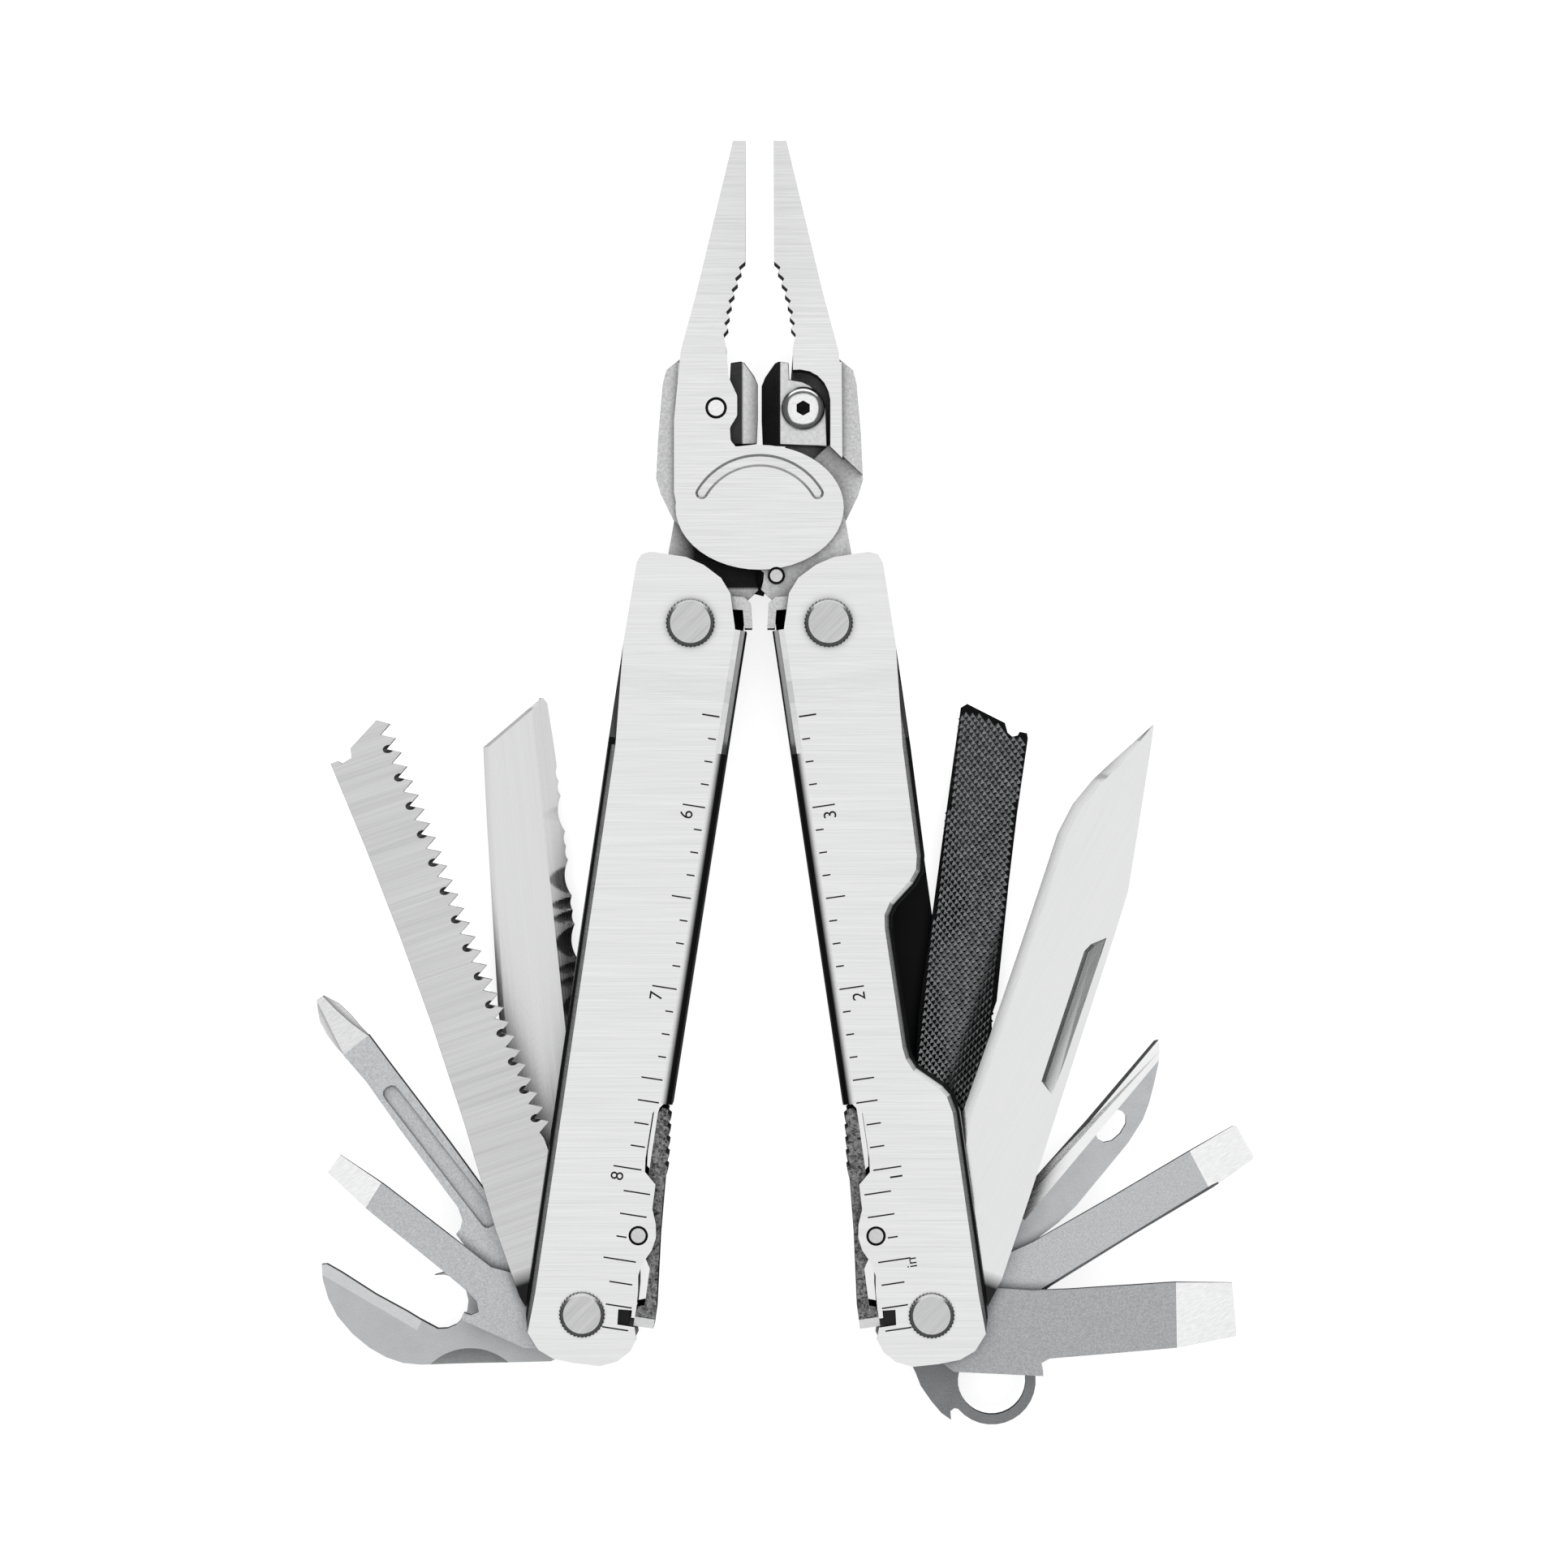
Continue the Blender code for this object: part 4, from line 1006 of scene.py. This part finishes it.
def soften_grip(obj):
    """Chamfer the front and back edges of the pipe-grip teeth."""

    def on_rim(vert):
        x, y, z = vert.co / MM
        return (GRIP_X[0] < abs(x) < GRIP_X[1] and GRIP_Y[0] < y < GRIP_Y[1]
                and abs(z - MIDDLE_Z) > 3.5)

    cage = cage_of(obj.data)
    edges = [edge for edge in cage.edges if all(on_rim(v) for v in edge.verts)
             and abs(edge.verts[0].co.z - edge.verts[1].co.z) < 0.2 * MM]
    bmesh.ops.bevel(cage, geom=edges, offset=GRIP_CHAMFER * MM, offset_type="OFFSET", segments=1,
                    profile=0.5, affect="EDGES", clamp_overlap=True)
    store(cage, obj.data)


def jaws():
    """Both jaws, with the arc recess on the front disc."""
    for side in SIDES:
        made = from_node("jaw_forging_" + side, "jaw_" + side)
        if side == "left":
            groove = cage_mesh("groove", arc_groove(), head_matrix())
            carve(made, add_object("groove", groove))
        soften_grip(made)
        finish_piece(made, "jaw_" + side, "jaw_" + side, ["jaw_" + side], 0.14)


CUTTER_OUTLINE = [(-0.4, 8.8), (-0.25, 12.2), (-0.25, 17.0), (-0.75, 18.2), (-2.1, 20.0),
                  (-2.6, 20.2), (-4.0, 20.0), (-4.1, 17.7), (-5.9, 17.4), (-6.9, 16.9),
                  (-7.9, 16.0), (-8.65, 15.0), (-9.15, 13.7), (-9.3, 8.5)]
CUTTER_SECTION = [(-10.0, 3.0), (-2.3, 3.0), (-0.2, 2.4), (-0.2, 2.1), (-2.8, -3.0),
                  (-10.0, -3.0)]
CUTTER_SCREW = (-6.0, 13.7)


def cutters():
    """Replaceable wire cutters: a flat front face and a steep bevel behind the edge."""
    for side, matrix in cutter_places():
        block = prism(CUTTER_OUTLINE, -3.0, 3.0)
        made = add_object("wire_cutter_" + side, cage_mesh("block", block, matrix))
        section = prism(CUTTER_SECTION, -22.0, -8.0)
        upright = matrix @ Matrix.Rotation(math.radians(90), 4, "X")
        shape = add_object("section", cage_mesh("section", section, upright))
        carve(made, shape, "INTERSECT")
        hole = rod((*CUTTER_SCREW, -8), (*CUTTER_SCREW, 8), 1.5)
        carve(made, add_object("hole", cage_mesh("hole", hole, matrix)))
        finish_piece(made, "cutter_" + side, "jaw_" + side, ["cutter_" + side])


def cutter_screws():
    """Domed socket screws."""
    dome = [(1.1, 4.78), (1.1, 4.1), (1.4, 4.1), (1.4, -3.1), (3.0, -3.15), (3.0, -3.45),
            (2.93, -3.75), (2.75, -3.97), (2.45, -4.13), (2.05, -4.24), (1.6, -4.3), (1.0, -4.32)]
    for side, matrix in cutter_places():
        place = matrix @ Matrix.Translation((*CUTTER_SCREW, 0))
        made = add_object("socket_screw_" + side, cage_mesh("screw", lathe(dome, 40), place))
        socket = rod((0, 0, -6), (0, 0, -3.6), 1.05, 6)
        carve(made, add_object("socket", cage_mesh("socket", socket, place)))
        finish_piece(made, "screw", "jaw_" + side, ["cutter_screw_" + side], 0, 40)
        shade_inside(made, place, (0.0, 1.06), (-4.28, -3.0))
        shade_inside(made, place, (1.12, 1.5), (3.9, 4.3))


def shade_inside(obj, place, radii, levels):
    """Painted shade on faces at some distance from an axis: sockets and gaps round pins."""
    if LOOKS["shade"].name not in obj.data.materials:
        obj.data.materials.append(LOOKS["shade"])
    back = place.inverted()
    for face in obj.data.polygons:
        middle = back @ face.center
        distance = math.hypot(middle.x, middle.y)
        if radii[0] < distance < radii[1] and levels[0] < middle.z < levels[1]:
            face.material_index = 1


RING_GAP = 0.24                  # width and depth of the gap round a pin's end
RING_DEPTH = 0.3


def ringed_pins():
    """Lock pins and stop pins with a fine gap round each end."""
    for side in SIDES:
        end_pin("lock_pin_end_" + side, frame["nodes"]["lock_pin_" + side], "handle_" + side)
    for name, body in (("stop_pin_front", "jaw_left"), ("stop_pin_back", "jaw_right")):
        end_pin(name + "_end", frame["nodes"][name], body)


def end_pin(name, node, body):
    """Round pin in place of a CAD pin, with a stepped end and painted shade in the gap round each
    end.
    """
    points = [node.matrix_world @ v.co for v in node.data.vertices]
    low, high = (Vector(f(p[k] for p in points) for k in range(3)) for f in (min, max))
    radius = (high.x - low.x) / 2 / MM
    half = (high.z - low.z) / 2 / MM
    middle = (low + high) / 2
    step = radius - RING_GAP
    foot = half - RING_DEPTH
    profile = [(step, half), (step, foot), (radius, foot - 0.02), (radius, 0.02 - foot),
               (step, -foot), (step, -half)]
    place = Matrix.Translation(middle) @ Matrix.Scale(MM, 4)
    made = add_object(name, cage_mesh(name, lathe(profile, 40), place))
    finish_piece(made, "pin", body, [node.name], 0, 30)
    for ends in ((half - 0.45, half - 0.05), (0.05 - half, 0.45 - half)):
        shade_inside(made, place, (step * 0.98, radius), sorted(ends))


def painted_shade_sheets():
    """Dark sheets of painted shade: inside each handle's neck beside the bolt, and between the
    two tangs.
    """
    for side, sign in (("left", -1), ("right", 1)):
        corners = ((2.0, -13.9), (4.3, -13.9), (4.3, -16.9), (2.3, -16.9))
        outline = [(sign * x, y) for x, y in corners]
        cage = prism(outline[::sign], -7.8, -6.9)
        made = add_object("neck_shade_sheet_" + side, cage_mesh("neck", cage, head_matrix()))
        finish_piece(made, "shade", "handle_" + side, (), 0)
    outline = [(-1.4, -8.2), (-1.4, -11.6), (0.5, -12.1), (0.9, -11.2), (0.9, -8.2)]
    cage = prism(outline[::-1], -3.4, -2.4)
    made = add_object("tang_shade_sheet", cage_mesh("tang", cage, head_matrix()))
    finish_piece(made, "shade", "jaw_right", (), 0)


# ---------------------------------------------------------------- small tools

def awl():
    """Pointed reamer with its long edge ground from the front."""
    matrix = tool_matrix("awl", "right")
    made = from_node("awl_blade", "awl")
    bevel_cut(made, matrix, (-0.7, 50.0), (-0.7, 18.0), 2.6, 0.5, -0.15)
    bevel_cut(made, matrix, (-0.5, 50.0), (-0.5, 18.0), 0.75, 0.9, -0.3)
    triangulate(made)
    finish_piece(made, "blasted", "awl", ["awl"], 0, 2)
    ground_faces(made)


def can_opener():
    """Curved blade with a ground inner edge and a hollow along its back."""
    matrix = tool_matrix("can_opener", "left")
    top = -1.85
    made = from_node("can_opener_blade", "can_opener")
    bevel_cut(made, matrix, (0.9, 37.6), (6.2, 21.6), 1.5, 0.2, top)
    ball = bmesh.new()
    bmesh.ops.create_uvsphere(ball, u_segments=128, v_segments=96, radius=30.0,
                              matrix=Matrix.Translation((16.4, 12.6, top + 28.9)))
    carve(made, add_object("ball", cage_mesh("ball", ball, matrix)))
    triangulate(made)
    finish_piece(made, "blasted", "can_opener", ["can_opener"], 0, 4)
    ground_faces(made, "soft_ground")


def medium_driver():
    """Driver blade with one long edge chamfered."""
    matrix = tool_matrix("medium_driver", "right")
    made = from_node("medium_driver_blade", "medium_driver")
    bevel_cut(made, matrix, (4.75, 15.0), (3.0, 43.5), 0.45, 0.35, 2.40)
    triangulate(made)
    finish_piece(made, "medium_driver", "medium_driver", ["medium_driver"], 0, 2)


def dress_frame():
    """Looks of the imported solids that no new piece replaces."""
    for name, node in frame["nodes"].items():
        if not node.hide_render:
            dress(node, NODE_LOOKS.get(name, "pin"))


# ---------------------------------------------------------------- stage

def soft_light(name, place, target, size, power):
    light = bpy.data.lights.new(name, "AREA")
    light.shape = "RECTANGLE"
    light.size, light.size_y = size
    light.energy = power
    holder = add_object(name, light)
    holder.location = place
    holder.rotation_euler = (Vector(target) - Vector(place)).to_track_quat("-Z", "Y").to_euler()


def floor_material():
    """Pale floor that shows white to the camera but stays dim in reflections."""
    made = Shader("pale_floor", 0.0)
    tone = made.noise((0.01, 0.01, 0.01), 2.0)
    made.surface.inputs["Emission Color"].default_value = (1, 1, 1, 1)
    seen = made.node("LightPath").outputs["Is Camera Ray"]
    made.link(made.times(seen, 0.78), made.surface, "Emission Strength")
    pale = made.ramp(tone, (0.90, 0.90, 0.90), (0.92, 0.92, 0.92))
    dull = made.ramp(tone, (0.09, 0.09, 0.09), (0.11, 0.11, 0.11))
    return made.finish(made.mix(seen, dull, pale), 0.9, tone, 0.001)


FLOOR_REACH = 3.0


def build_stage():
    """Floor, two soft lights and a dim surrounding."""
    mesh = bpy.data.meshes.new("floor")
    z = CAD_BOX[0].z
    corners = [(x * FLOOR_REACH, y * FLOOR_REACH, z)
               for x, y in ((-1, -1), (1, -1), (1, 1), (-1, 1))]
    mesh.from_pydata(corners, [], [(0, 1, 2, 3)])
    mesh.materials.append(floor_material())
    add_object("floor", mesh)
    centre = (0.0, -0.04, 0.0)
    soft_light("overhead", (0.0, -0.04, 1.3), centre, (1.3, 1.3), 6.5)
    soft_light("top_edge", (0.0, 1.2, 0.75), centre, (2.4, 0.7), 9.0)
    world = bpy.data.worlds.new("studio")
    world.use_nodes = True
    background = world.node_tree.nodes["Background"]
    background.inputs["Color"].default_value = (0.97, 0.99, 1.0, 1)
    background.inputs["Strength"].default_value = 0.16
    bpy.context.scene.world = world
    bpy.context.scene.view_settings.view_transform = "Standard"


def build_camera():
    """Long lens straight above the spread tool."""
    data = bpy.data.cameras.new("camera")
    data.lens = LENS
    data.sensor_width = SENSOR
    distance = IMAGE_WIDTH * MM * LENS / SENSOR
    data.clip_start = distance * 0.1
    data.clip_end = distance * 10
    camera = add_object("camera", data)
    camera.location = (VIEW_CENTRE[0] * MM, VIEW_CENTRE[1] * MM, distance)
    bpy.context.scene.camera = camera


# ---------------------------------------------------------------- assembly


for side in SIDES:
    ruler(side)
    knurled_heads(side)
knife()
serrated_knife()
saw()
file_cut("file_teeth_front", FILE_Z[1], FILE_RISE)
file_cut("file_teeth_back", FILE_Z[0], -FILE_RISE)
jaws()
cutters()
cutter_screws()
ringed_pins()
painted_shade_sheets()
awl()
can_opener()
medium_driver()
dress_frame()
build_stage()
build_camera()
